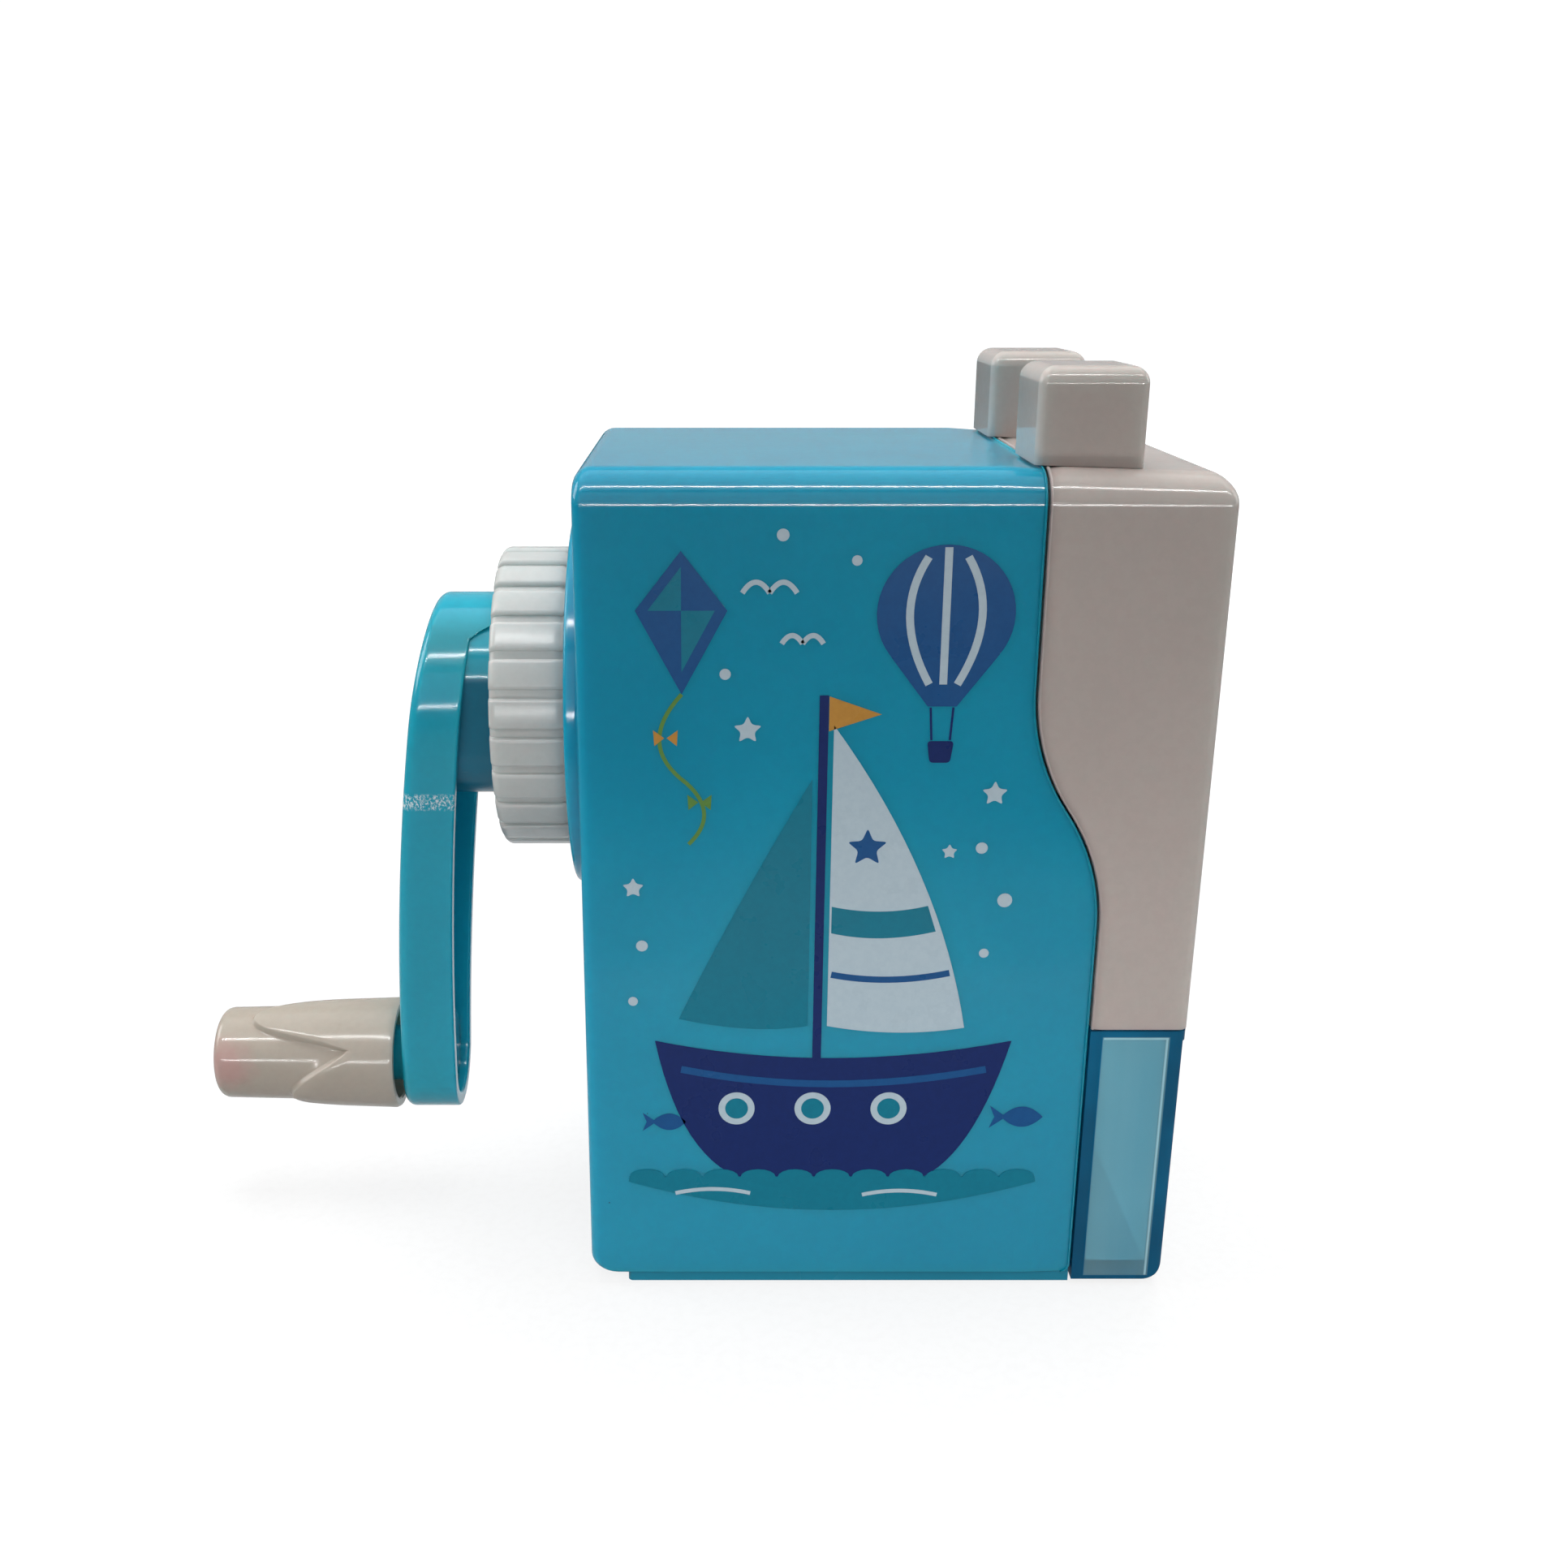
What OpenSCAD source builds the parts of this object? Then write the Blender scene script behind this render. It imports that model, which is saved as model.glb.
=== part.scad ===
// Hand-cranked desk pencil sharpener with a spring-fed pencil clamp and a pull-out drawer.
// Millimetres. +X points to the pencil side, -X to the crank, +Z up.
// The origin is the middle of the base's underside.

/* [Body] */
// Length of the box from the rear wall to the front face
body_l = 62.5; // [60:0.5:70]
// Width across the two sides
body_w = 44.5; // [43:0.5:52]
// Height of the box without the squeeze tabs
body_h = 88; // [86:0.5:96]
// Wall thickness of the body and the front cover
wall = 2; // [1.6:0.1:2.3]
// Radius of the two long top edges
long_edge_r = 3.5; // [2.6:0.1:4.5]
// Radius of the top edge at the rear
end_edge_r = 1.8; // [1:0.1:2.5]
// Radius of the top edge at the front
front_edge_r = 2.6; // [1.6:0.1:3.2]
// Radius of the upright edges
upright_r = 1; // [0.6:0.1:1.5]
// Radius of the lower rear and lower front edges
foot_r = 2; // [1.2:0.1:2.5]
// Radius of the body's lower front corner
front_foot_r = 0.8; // [0.5:0.1:1.2]
// Distance of the pencil and crank axis below the top
axis_drop = 27.4; // [26.4:0.2:28.4]
// Visible line between two neighbouring shells
line_gap = 0.2; // [0.15:0.05:0.3]

/* [Front cover] */
// Thickness of the front cover at the top
cover_t = 18.2; // [18:0.1:19]
// Thickness of the front cover at its lower edge
cover_foot_t = 10.3; // [9.5:0.1:11.5]
// Radius of the two arcs of the wavy parting line
wave_r = 21.8; // [16:0.2:28]
// Height of the middle of the wave
wave_h = 54.5; // [50:0.5:58]
// Radius of the pencil hole
pencil_hole_r = 4.25; // [3.9:0.05:4.6]
// Depth of the funnel around the pencil hole
funnel_d = 0.8; // [0.4:0.1:1]
// Width of the funnel around the pencil hole
funnel_w = 1.6; // [0.8:0.1:2.4]
// How far the carriage pulls out
carriage_travel = 25; // [20:0.5:25.5]
// How much wider the guides behind the pencil hole are, on the radius
guide_play = 0.75; // [0.6:0.05:0.9]

/* [Base] */
// Height of the visible plinth
plinth_h = 1.5; // [1:0.1:2]
// How far the plinth stands back from the sides
plinth_inset = 0.6; // [0.3:0.1:1]
// How far the plinth stands back from the rear
plinth_rear = 4; // [3:0.1:5]
// Length of the narrow step behind the plinth
plinth_step_l = 2.8; // [2:0.1:2.9]
// How far that step is set in from the plinth's side
plinth_step_in = 2.6; // [1:0.1:4]
// Thickness of the plug that fits inside the walls
plug_t = 1.5; // [1:0.1:2]

/* [Drawer] */
// Height of the drawer front above the table
drawer_h = 30.55; // [28:0.5:32]
// Clearance of the drawer front above the table
drawer_lift = 0.6; // [0.4:0.1:0.9]
// Wall thickness of the drawer
drawer_wall = 1.5; // [1.2:0.1:1.8]
// Floor thickness of the drawer
drawer_floor = 1.6; // [1.2:0.1:2]
// Thickness of the rim along the top of the drawer front
lip_t = 1.15; // [0.8:0.05:1.6]
// How far the drawer's front is set back below its lip
lip_proud = 0.35; // [0.2:0.05:0.5]
// Length of the tray behind the drawer front
tray_l = 40; // [36:0.5:41]
// Sliding clearance of the drawer
drawer_gap = 0.4; // [0.3:0.05:0.6]

/* [Collar] */
// Outer radius of the knurled collar
collar_r = 16.4; // [16.2:0.1:18]
// Length of the knurled collar
collar_l = 7.8; // [7.4:0.1:9]
// Number of grooves around the collar
groove_n = 25; // [20:1:28]
// Width of one groove
groove_w = 1.1; // [0.7:0.05:1.3]
// Depth of one groove
groove_d = 0.5; // [0.3:0.05:0.7]
// Radius of the rounded outer rim
rim_r = 1.2; // [0.6:0.1:1.6]
// Distance from the side to the round boss on the rear wall
boss_inset = 1.75; // [1:0.05:2.5]
// Height of the round boss on the rear wall
boss_t = 1.5; // [1:0.1:2]
// Outer radius of the collar's spigot
spigot_r = 14.3; // [14.2:0.05:14.6]
// Wall thickness of the spigot
spigot_wall = 2.2; // [1.6:0.1:2.4]
// How far the bayonet lugs stand out
lug_h = 1.3; // [0.8:0.1:1.5]
// Thickness of the bayonet lugs
lug_t = 1.6; // [1.2:0.1:2]
// Width of a bayonet lug, in degrees
lug_deg = 20; // [14:1:24]
// Turn from locked to unlocked, in degrees
twist_deg = 30; // [28:1:36]

/* [Gears and cutter] */
// Gear module
gear_m = 1; // [0.96:0.01:1.02]
// Teeth of the internal ring gear
ring_n = 19; // [19:1:19]
// Teeth of the cutter pinion
pinion_n = 10; // [10:1:10]
// Tooth thickness as a share of half the pitch
tooth_share = 0.72; // [0.66:0.01:0.76]
// Length of the ring gear ahead of the spigot
ring_l = 6.1; // [5.8:0.1:6.6]
// Width of the pinion's teeth
pinion_w = 3; // [2.6:0.1:3.2]
// Tilt of the cutter against the pencil axis, in degrees
tilt_deg = 10.5; // [9.5:0.1:11]
// Radius of the helical cutter
cutter_r = 5; // [4.6:0.1:5.1]
// Length of the helical cutter
cutter_l = 20; // [18:0.1:20.5]
// Length of the sleeve between pinion and cutter
sleeve_l = 3.1; // [2.6:0.1:3.4]
// Number of cutter flutes
flute_n = 16; // [12:1:20]
// Radius of the cutter pin
pin_r = 1.25; // [1:0.05:1.4]

/* [Crank] */
// Distance from the crank axis to the grip axis
crank_throw = 44; // [40:0.5:46]
// Radius of the arm's hub end
hub_end_r = 11.5; // [10.5:0.1:12.5]
// Radius of the arm's grip end
grip_end_r = 6.25; // [5.8:0.05:7]
// How far the arm's foot stands out from the collar
arm_reach = 13.55; // [13:0.05:15]
// Depth of the arm at its foot
arm_depth = 5.9; // [5.4:0.1:6.6]
// Bow radius of the arm's outer face
arm_bow_r = 350; // [320:5:420]
// Bow radius of the arm's inner rim
arm_rim_bow_r = 450; // [420:5:520]
// Thickness of the arm's side walls
arm_wall = 1.6; // [1.2:0.1:1.8]
// Thickness of the arm's outer face
arm_face_t = 1.7; // [1.4:0.1:2]
// How far the hub around the shaft lies inside the arm's hub end
hub_inset = 1.2; // [0.9:0.05:1.5]
// Radius of the crank shaft
shaft_r = 4; // [3.6:0.1:4.3]

/* [Grip] */
// Length of the grip
grip_l = 21.3; // [20:0.1:25]
// Radius of the grip next to the arm
grip_r = 6.5; // [6.2:0.1:7.2]
// Radius of the grip at its outer end
grip_tip_r = 5.3; // [5.2:0.1:6]
// Radius of the pin that carries the grip
grip_pin_r = 3.25; // [2.8:0.05:3.5]
// Wall of the open end of the grip
grip_wall = 1.15; // [1:0.05:1.4]
// Depth of the open end of the grip
grip_open_d = 5; // [4:0.1:6]
// Height of the zigzag step
step_h = 0.75; // [0.5:0.05:0.8]
// Number of points in the zigzag
zigzag_n = 4; // [4:1:6]

/* [Clamp] */
// Length of a squeeze tab, front to rear
tab_l = 10.4; // [10.2:0.1:10.8]
// How far a squeeze tab reaches back over the parting line
tab_overhang = 0.65; // [0.2:0.05:0.8]
// Thickness of a squeeze tab
tab_w = 11.1; // [10.8:0.1:11.4]
// Height of a squeeze tab above the top
tab_h = 9.1; // [8:0.1:10]
// Distance from the side to a squeeze tab
tab_inset = 3.25; // [3.2:0.05:3.6]
// Radius of the tab edges
tab_r = 1.3; // [0.8:0.1:1.6]
// How far a squeeze tab moves inwards
tab_travel = 3.5; // [3:0.1:3.6]
// Thickness of a jaw plate
jaw_t = 2.5; // [2.2:0.1:2.6]
// Running gap beside a jaw plate
jaw_gap = 0.3; // [0.2:0.05:0.35]
// Thickness of the clamp housing's plate and of the retainer
clamp_plate_t = 2; // [1.8:0.1:2.2]
// Half the gap between the closed jaw pads
jaw_close = 3; // [2.6:0.1:3.3]
// Thickness of a jaw pad
pad_t = 2; // [1.6:0.1:2.2]

/* [Rods and springs] */
// Radius of a guide rod
rod_r = 1.5; // [1.3:0.05:1.6]
// Distance of a guide rod from the inside of the side wall
rod_inset = 3.05; // [2.95:0.05:3.15]
// Distance of a guide rod below the top
rod_drop = 9; // [8:0.1:10]
// Length of a feed spring with the carriage pulled out
feed_closed_l = 8; // [7.2:0.1:8.5]
// Wire radius of a feed spring
feed_wire_r = 0.3; // [0.25:0.01:0.33]
// Turns of a feed spring
feed_turns = 11; // [9:1:11]
// Running clearance of shafts, pins and rods, on the radius
run_gap = 0.06; // [0.03:0.01:0.09]
// Clearance of a seated pin, screw or press part, on the radius
seat_gap = 0.02; // [0.01:0.01:0.05]

/* [Hidden] */
$fn = 72;
bow_fn = 720;
wave_fn = 360;
coil_segs = 14;
coil_sides = 6;
flute_slices = 14;
eps = 0.01;
blue = "deepskyblue";
white = "ghostwhite";
steel = "silver";
over = 1;
beyond = 5;
face_gap = 0.02;
min_corner_r = 0.5;

// Height of the axis and radius of the boss around it
axis_h = body_h - axis_drop;
boss_r = body_w / 2 - boss_inset;

// Planes along X, from the crank side to the pencil side
x_rear = -body_l / 2;
x_front = body_l / 2;
x_part = x_front - cover_t;
x_part_low = x_front - cover_foot_t;
x_collar_in = x_rear - boss_t - line_gap;
x_collar_out = x_collar_in - collar_l;
x_wall_in = x_rear + wall;
lug_gap = 0.15;
x_lug = x_wall_in + lug_gap;
x_spigot_end = x_lug + lug_t;
x_ring_end = x_spigot_end + ring_l;

// Planes along Z
z_drawer_top = drawer_h;
z_plug_top = plinth_h + plug_t;
z_rod = body_h - rod_drop;
tray_lift = 0.3;
z_tray = z_plug_top + tray_lift;

// Inner size of the shells
in_w = body_w / 2 - wall;
in_h = body_h - wall;
hook_w = wall / 2;
fit_gap = 0.1;
slide_gap = 0.35;

// Wave of the parting line: two arcs that meet in the middle
wave_d = (cover_t - cover_foot_t) / 2;
wave_half = sqrt(2 * wave_r * wave_d - wave_d * wave_d);
z_wave_hi = wave_h + wave_half;
z_wave_lo = wave_h - wave_half;
x_wave_mid = (x_part + x_part_low) / 2;

// Screws
screw_r = 1.05;
screw_head_r = 2;
screw_head_t = 1.1;
screw_play = 0.15;
head_play = 0.2;
screw_tip_gap = 0.5;
cross_w = 0.6;
cross_share = 0.6;
column_r = 2.4;
rib_w = 2;

// Base plate
base_column_r = 2.6;
base_column_h = 10;
base_screw_l = 8;
base_screw_in = 4.4;
base_screw_side = 3.4;
base_screw_x = x_wall_in + base_screw_in;
base_screw_y = in_w - base_screw_side;
base_sink = 1.3;
plinth_r = 0.5;
step_lift = 0.3;
plug_front = 2;
base_rim = 6;
base_rim_rear = 8;
base_hollow_d = 0.5;

// Bulkhead
bulk_t = 2.5;
x_bulk = x_part - line_gap;
x_bulk_in = x_bulk - bulk_t;
bulk_boss_l = 3;
x_bulk_boss = x_bulk_in - bulk_boss_l;
bulk_screw_side = 2.6;
bulk_screw_y = in_w - bulk_screw_side;
bulk_screw_rise = 10.4;
bulk_screw_edge = 4.5;
bulk_screw_low = z_drawer_top + bulk_screw_edge;
bulk_screw_high = axis_h + bulk_screw_rise;
bulk_column_l = 12;
bulk_foot_gap = 0.45;
bulk_screw_l = 8;
bulk_sink = 1.2;

// Collar, shaft and ring gear
spigot_bore_r = spigot_r - spigot_wall;
collar_face_t = 2;
bearing_wall = 2.5;
bearing_back = 1.5;
x_bearing_end = x_collar_in - bearing_back;
thrust_gap = 0.3;
ring_seat_l = 2.5;
lug_root = 0.5;
notch_gap = 0.2;
notch_deg = 4;
collar_heel_r = 0.4;

// Gears
ring_pitch_r = ring_n * gear_m / 2;
pinion_pitch_r = pinion_n * gear_m / 2;
gear_offset = ring_pitch_r - pinion_pitch_r;
pinion_add = 0.7 * gear_m;
pinion_ded = 1.15 * gear_m;
ring_add = 0.7 * gear_m;
ring_ded = 1.3 * gear_m;
ring_tip_r = ring_pitch_r - ring_add;
ring_wall = 2.2;
ring_r = min(spigot_r - seat_gap, ring_pitch_r + ring_ded + ring_wall);
gear_set = 0.9;
x_gear_mid = x_ring_end - ring_l / 2 + gear_set;

// Half widths of the teeth and spaces, in degrees
ring_flank_deg = 1.9;
ring_root_deg = 90 / ring_n * (2 - tooth_share) + ring_flank_deg;
ring_tip_deg = 90 / ring_n * (2 - tooth_share) - ring_flank_deg;
pinion_root_deg = 90 / pinion_n * tooth_share + 3.4;
pinion_tip_deg = 90 / pinion_n * tooth_share - 2.2;
flute_tip_deg = 2;

// Cutter, along its own tilted axis from the middle of the pinion
cutter_start = pinion_w / 2 + sleeve_l;
cutter_end = cutter_start + cutter_l;
sleeve_r = 3.2;
flute_d = 0.7;
flute_twist = 55;

// Carrier
carrier_gap = 0.6;
carrier_play = 0.8;
carrier_hub_r = ring_tip_r - carrier_play;
x_carrier_hub = x_bearing_end + thrust_gap;
x_carrier_hub_end = x_gear_mid - (pinion_w / 2) * cos(tilt_deg)
    - (pinion_pitch_r + pinion_add) * sin(tilt_deg) - 0.4;
x_carrier_plate = x_gear_mid + cutter_end * cos(tilt_deg) + cutter_r * sin(tilt_deg) + carrier_gap;
carrier_plate_t = 3;
plate_step = 1;
carrier_plate_r = spigot_r - plate_step;
chord_play = 0.35;
carrier_chord = pencil_hole_r + chord_play;
strut_w = 15;
strut_step = 1;
nose_r = 7.4;
guide_r = pencil_hole_r + guide_play;
pin_seat_l = 2.4;
pin_end_gap = 0.3;
pin_rear = (x_gear_mid - x_carrier_hub_end) / cos(tilt_deg) + pin_seat_l;
pin_front = (x_carrier_plate + carrier_plate_t - x_gear_mid) / cos(tilt_deg) - pin_end_gap;
shaft_pin_r = 0.75;
shaft_pin_sink = 0.3;
shaft_pin_set = 2;
x_shaft_pin = x_carrier_hub + shaft_pin_set;

// Crank
shaft_cover_t = 3.2;
x_shaft_end = x_carrier_hub_end - shaft_cover_t;
hub_gap = 0.3;
x_hub = x_collar_out - hub_gap;
z_grip = axis_h - crank_throw;
bow_drop = 11.6;
z_bow = z_grip - bow_drop;
x_arm_low = x_collar_out - arm_reach;
x_arm_rim_low = x_arm_low + arm_depth;
arm_sag_hub = arm_bow_r - sqrt(arm_bow_r * arm_bow_r - (axis_h - z_bow) * (axis_h - z_bow));
x_arm_hub = x_arm_low + arm_sag_hub;
arm_sag_grip = arm_bow_r - sqrt(arm_bow_r * arm_bow_r - (z_grip - z_bow) * (z_grip - z_bow));
x_arm_grip = x_arm_low + arm_sag_grip;
hex_gap = 0.05;
hex_step = 0.15;
hex_r = shaft_r - hex_step;
hub_face_t = 1.3;
hub_web_t = 1.1;
x_hex_end = x_arm_hub + hub_face_t + hub_web_t;
crank_screw_r = screw_r + 0.2;
crank_screw_head_r = screw_head_r + 1;
crank_screw_l = 7;
pin_root_gap = 1.2;
hub_r = hub_end_r - hub_inset;
arm_lean = (hub_end_r - grip_end_r) / crank_throw;
arm_side = sqrt(1 - arm_lean * arm_lean);

// Grip
grip_gap = 1;
x_grip_in = x_arm_grip - grip_gap;
x_grip_out = x_grip_in - grip_l;
grip_end_d = 2.1;
x_grip_seat = x_grip_out + grip_end_d;
grip_rim_r = 1;
washer_r = 4.1;
washer_t = 0.9;
washer_play = 0.25;
zig_start = 5;
sleeve_share = 0.74;
zig_share = 0.8;
zig_turn = 60;
grip_sleeve_l = grip_l * sleeve_share;
grip_screw_l = 8;
grip_end_play = 0.2;
x_pin_end = x_grip_seat - grip_end_play;

// Clamp layers, from the rear to the front
head_gap = 0.35;
x_retainer = x_bulk + screw_head_t + head_gap;
x_layer_far = x_retainer + clamp_plate_t + jaw_gap;
x_layer_near = x_layer_far + jaw_t + jaw_gap;
x_clamp = x_layer_near + jaw_t + jaw_gap;
x_clamp_front = x_clamp + clamp_plate_t;
x_cover_in = x_front - wall;
clamp_w = in_w - slide_gap;
clamp_screw_side = 2.55;
clamp_screw_y = in_w - clamp_screw_side;
clamp_screw_rise = 9.4;
clamp_screw_fall = 14.1;
clamp_screw_high = axis_h + clamp_screw_rise;
clamp_screw_low = axis_h - clamp_screw_fall;
clamp_column_r = 2.2;
clamp_edge = 0.8;
rod_edge = 2;
z_clamp_low = clamp_screw_low - clamp_column_r - clamp_edge;
z_clamp_high = z_rod + rod_r + rod_edge;
guide_wall = 1.25;
rail_t = 2;

// Squeeze tabs and jaw plates; the near pair is drawn on the -Y side
tab_gap = 0.25;
x_tab = x_part - tab_overhang;
tab_y = body_w / 2 - tab_inset;
tab_in_y = tab_y - tab_w;
slot_play = 0.3;
slot_cover = 0.1;
stem_w = tab_w - 2 * (tab_travel + slot_play + slot_cover);
stem_y = tab_in_y + slot_play + slot_cover + tab_travel + stem_w;
jaw_rise = 13;
jaw_fall = 11;
jaw_top = axis_h + jaw_rise;
jaw_low = axis_h - jaw_fall;
jaw_rim = 4.5;
window_h = 6.2;
window_play = 1;
pad_seat_y = jaw_close + pad_t;
jaw_end_y = pad_seat_y + jaw_rim;
window_y = pencil_hole_r + tab_travel + window_play;
pad_h = 9;
pad_notch_r = 0.9;
soft_share = 0.6;
jaw_spring_r = 1.9;
jaw_wire_r = 0.25;
jaw_turns = 6;
spring_lift = 0.5;
z_jaw_spring = jaw_top + spring_lift + jaw_spring_r;
post_w = 5;
post_top = 1;
x_jaw_spring = (x_layer_far + x_layer_near + jaw_t) / 2;

// Rods and feed springs
rod_y = in_w - rod_inset;
feed_l = carriage_travel + feed_closed_l;
x_feed_front = x_bulk_boss;
x_washer = x_feed_front - feed_l;
rod_washer_t = 0.8;
rod_washer_r = 2.9;
rod_screw_r = 0.75;
rod_screw_l = 5;
rod_screw_head_r = 1.6;
rod_screw_head_t = 0.9;
rod_washer_play = 0.1;
feed_r = 2.2;
guide_boss_r = min(rod_washer_r, in_w - fit_gap - rod_y);

// Drawer
tray_w = in_w - drawer_gap;
x_drawer = x_part_low + line_gap;
drawer_set_back = 0.05;
x_drawer_front = x_front - drawer_set_back;

// ---- Helpers ----
module along_x(x0, x1) {
    translate([x0, 0, 0]) rotate([90, 0, 90]) linear_extrude(height = x1 - x0) children();
}

module along_y(y0, y1) {
    translate([0, y1, 0]) rotate([90, 0, 0]) linear_extrude(height = y1 - y0) children();
}

module along_z(z0, z1) {
    translate([0, 0, z0]) linear_extrude(height = z1 - z0) children();
}

module rod_x(x0, x1, r) {
    translate([x0, 0, 0]) rotate([0, 90, 0]) cylinder(h = x1 - x0, r = r);
}

module block(x0, x1, y0, y1, z0, z1) {
    translate([x0, y0, z0]) cube([x1 - x0, y1 - y0, z1 - z0]);
}

// What a rounded corner leaves off: the corner is at the origin, the sheet lies towards (sx, sy)
module corner_waste(sx, sy, r) {
    difference() {
        translate([sx > 0 ? -over : -r, sy > 0 ? -over : -r]) square(r + over);
        translate([sx * r, sy * r]) circle(r = r);
    }
}

// Rectangle from [x0, y0] to [x1, y1] with its own radius at each corner, 0 for a sharp one
module rounded(x0, y0, x1, y1, low_left = 0, low_right = 0, top_right = 0, top_left = 0) {
    difference() {
        translate([x0, y0]) square([x1 - x0, y1 - y0]);
        if (low_left > 0) translate([x0, y0]) corner_waste(1, 1, low_left);
        if (low_right > 0) translate([x1, y0]) corner_waste(-1, 1, low_right);
        if (top_right > 0) translate([x1, y1]) corner_waste(-1, -1, top_right);
        if (top_left > 0) translate([x0, y1]) corner_waste(1, -1, top_left);
    }
}

// Cross-section of the box, seen along X
module box_section(inset, z0) {
    r = max(long_edge_r - inset, min_corner_r);
    rounded(-body_w / 2 + inset, z0, body_w / 2 - inset, body_h - inset, top_right = r, top_left = r);
}

// Everything behind the wavy parting line, seen along -Y, moved forward by shift
module behind_wave(shift) {
    translate([shift, 0]) {
        translate([x_rear - beyond, -over]) square([x_part - x_rear + beyond, body_h + 2 * over]);
        translate([x_rear, -over]) square([x_part_low - x_rear, z_wave_lo + over]);
        intersection() {
            translate([x_rear, z_wave_lo - eps]) square([x_part_low - x_rear + over, wave_half + eps]);
            translate([x_part_low - wave_r, z_wave_lo]) circle(r = wave_r, $fn = wave_fn);
            translate([x_rear, 0]) square([body_l, body_h]);
        }
        difference() {
            translate([x_rear, wave_h - eps]) square([x_wave_mid - x_rear, wave_half + eps]);
            translate([x_part + wave_r, z_wave_hi]) circle(r = wave_r, $fn = wave_fn);
        }
    }
}

// A closed coil spring along +Z, from z = 0
function coil_point(k, segs, turns, r, wire, l) =
    let (a = 360 * k / segs)
    [r * cos(a), r * sin(a), wire + (l - 2 * wire) * k / (segs * turns)];

function coil_ring(k, segs, turns, r, wire, l, sides) =
    let (a = 360 * k / segs, p = coil_point(k, segs, turns, r, wire, l))
    [for (i = [0:sides - 1])
        let (b = 360 * i / sides)
        p + [wire * cos(b) * cos(a), wire * cos(b) * sin(a), wire * sin(b)]];

module coil(l, r, wire, turns, segs = coil_segs, sides = coil_sides) {
    rings = segs * turns;
    points = [for (k = [0:rings]) each coil_ring(k, segs, turns, r, wire, l, sides)];
    skin = [for (k = [0:rings - 1]) for (i = [0:sides - 1])
        let (a = k * sides + i, b = k * sides + (i + 1) % sides)
        each [[a, b, b + sides], [a, b + sides, a + sides]]];
    first_cap = [for (i = [0:sides - 1]) sides - 1 - i];
    last_cap = [for (i = [0:sides - 1]) rings * sides + i];
    polyhedron(points = points, faces = concat([first_cap], skin, [last_cap]), convexity = 8);
}

// Outline of a gear with straight-sided teeth
module gear_outline(n, root_r, tip_r, root_deg, tip_deg) {
    polygon([for (i = [0:n - 1]) each [
        [root_r * cos(360 * i / n - root_deg), root_r * sin(360 * i / n - root_deg)],
        [tip_r * cos(360 * i / n - tip_deg), tip_r * sin(360 * i / n - tip_deg)],
        [tip_r * cos(360 * i / n + tip_deg), tip_r * sin(360 * i / n + tip_deg)],
        [root_r * cos(360 * i / n + root_deg), root_r * sin(360 * i / n + root_deg)]]]);
}

// A pan-head screw along +X: the underside of its head is at x = 0
module screw_x(l, r, head_r, head_t) {
    difference() {
        union() {
            rod_x(-head_t, 0, head_r);
            rod_x(-eps, l, r);
        }
        cross_cut(head_r, head_t);
    }
}

// The cross in a screw head that lies between x = -head_t and x = 0
module cross_cut(head_r, head_t) {
    reach = head_r * cross_share;
    for (a = [0, 90]) rotate([a, 0, 0])
        block(-head_t - over, -head_t / 2, -reach, reach, -cross_w / 2, cross_w / 2);
}

module at_axis() {
    translate([0, 0, axis_h]) children();
}

// The cutter's own frame: +Z along its tilted axis, from the middle of the pinion
module at_cutter() {
    translate([x_gear_mid, 0, axis_h + gear_offset]) rotate([0, 90 - tilt_deg, 0]) children();
}

module both_sides() {
    children();
    mirror([0, 1, 0]) children();
}

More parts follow.
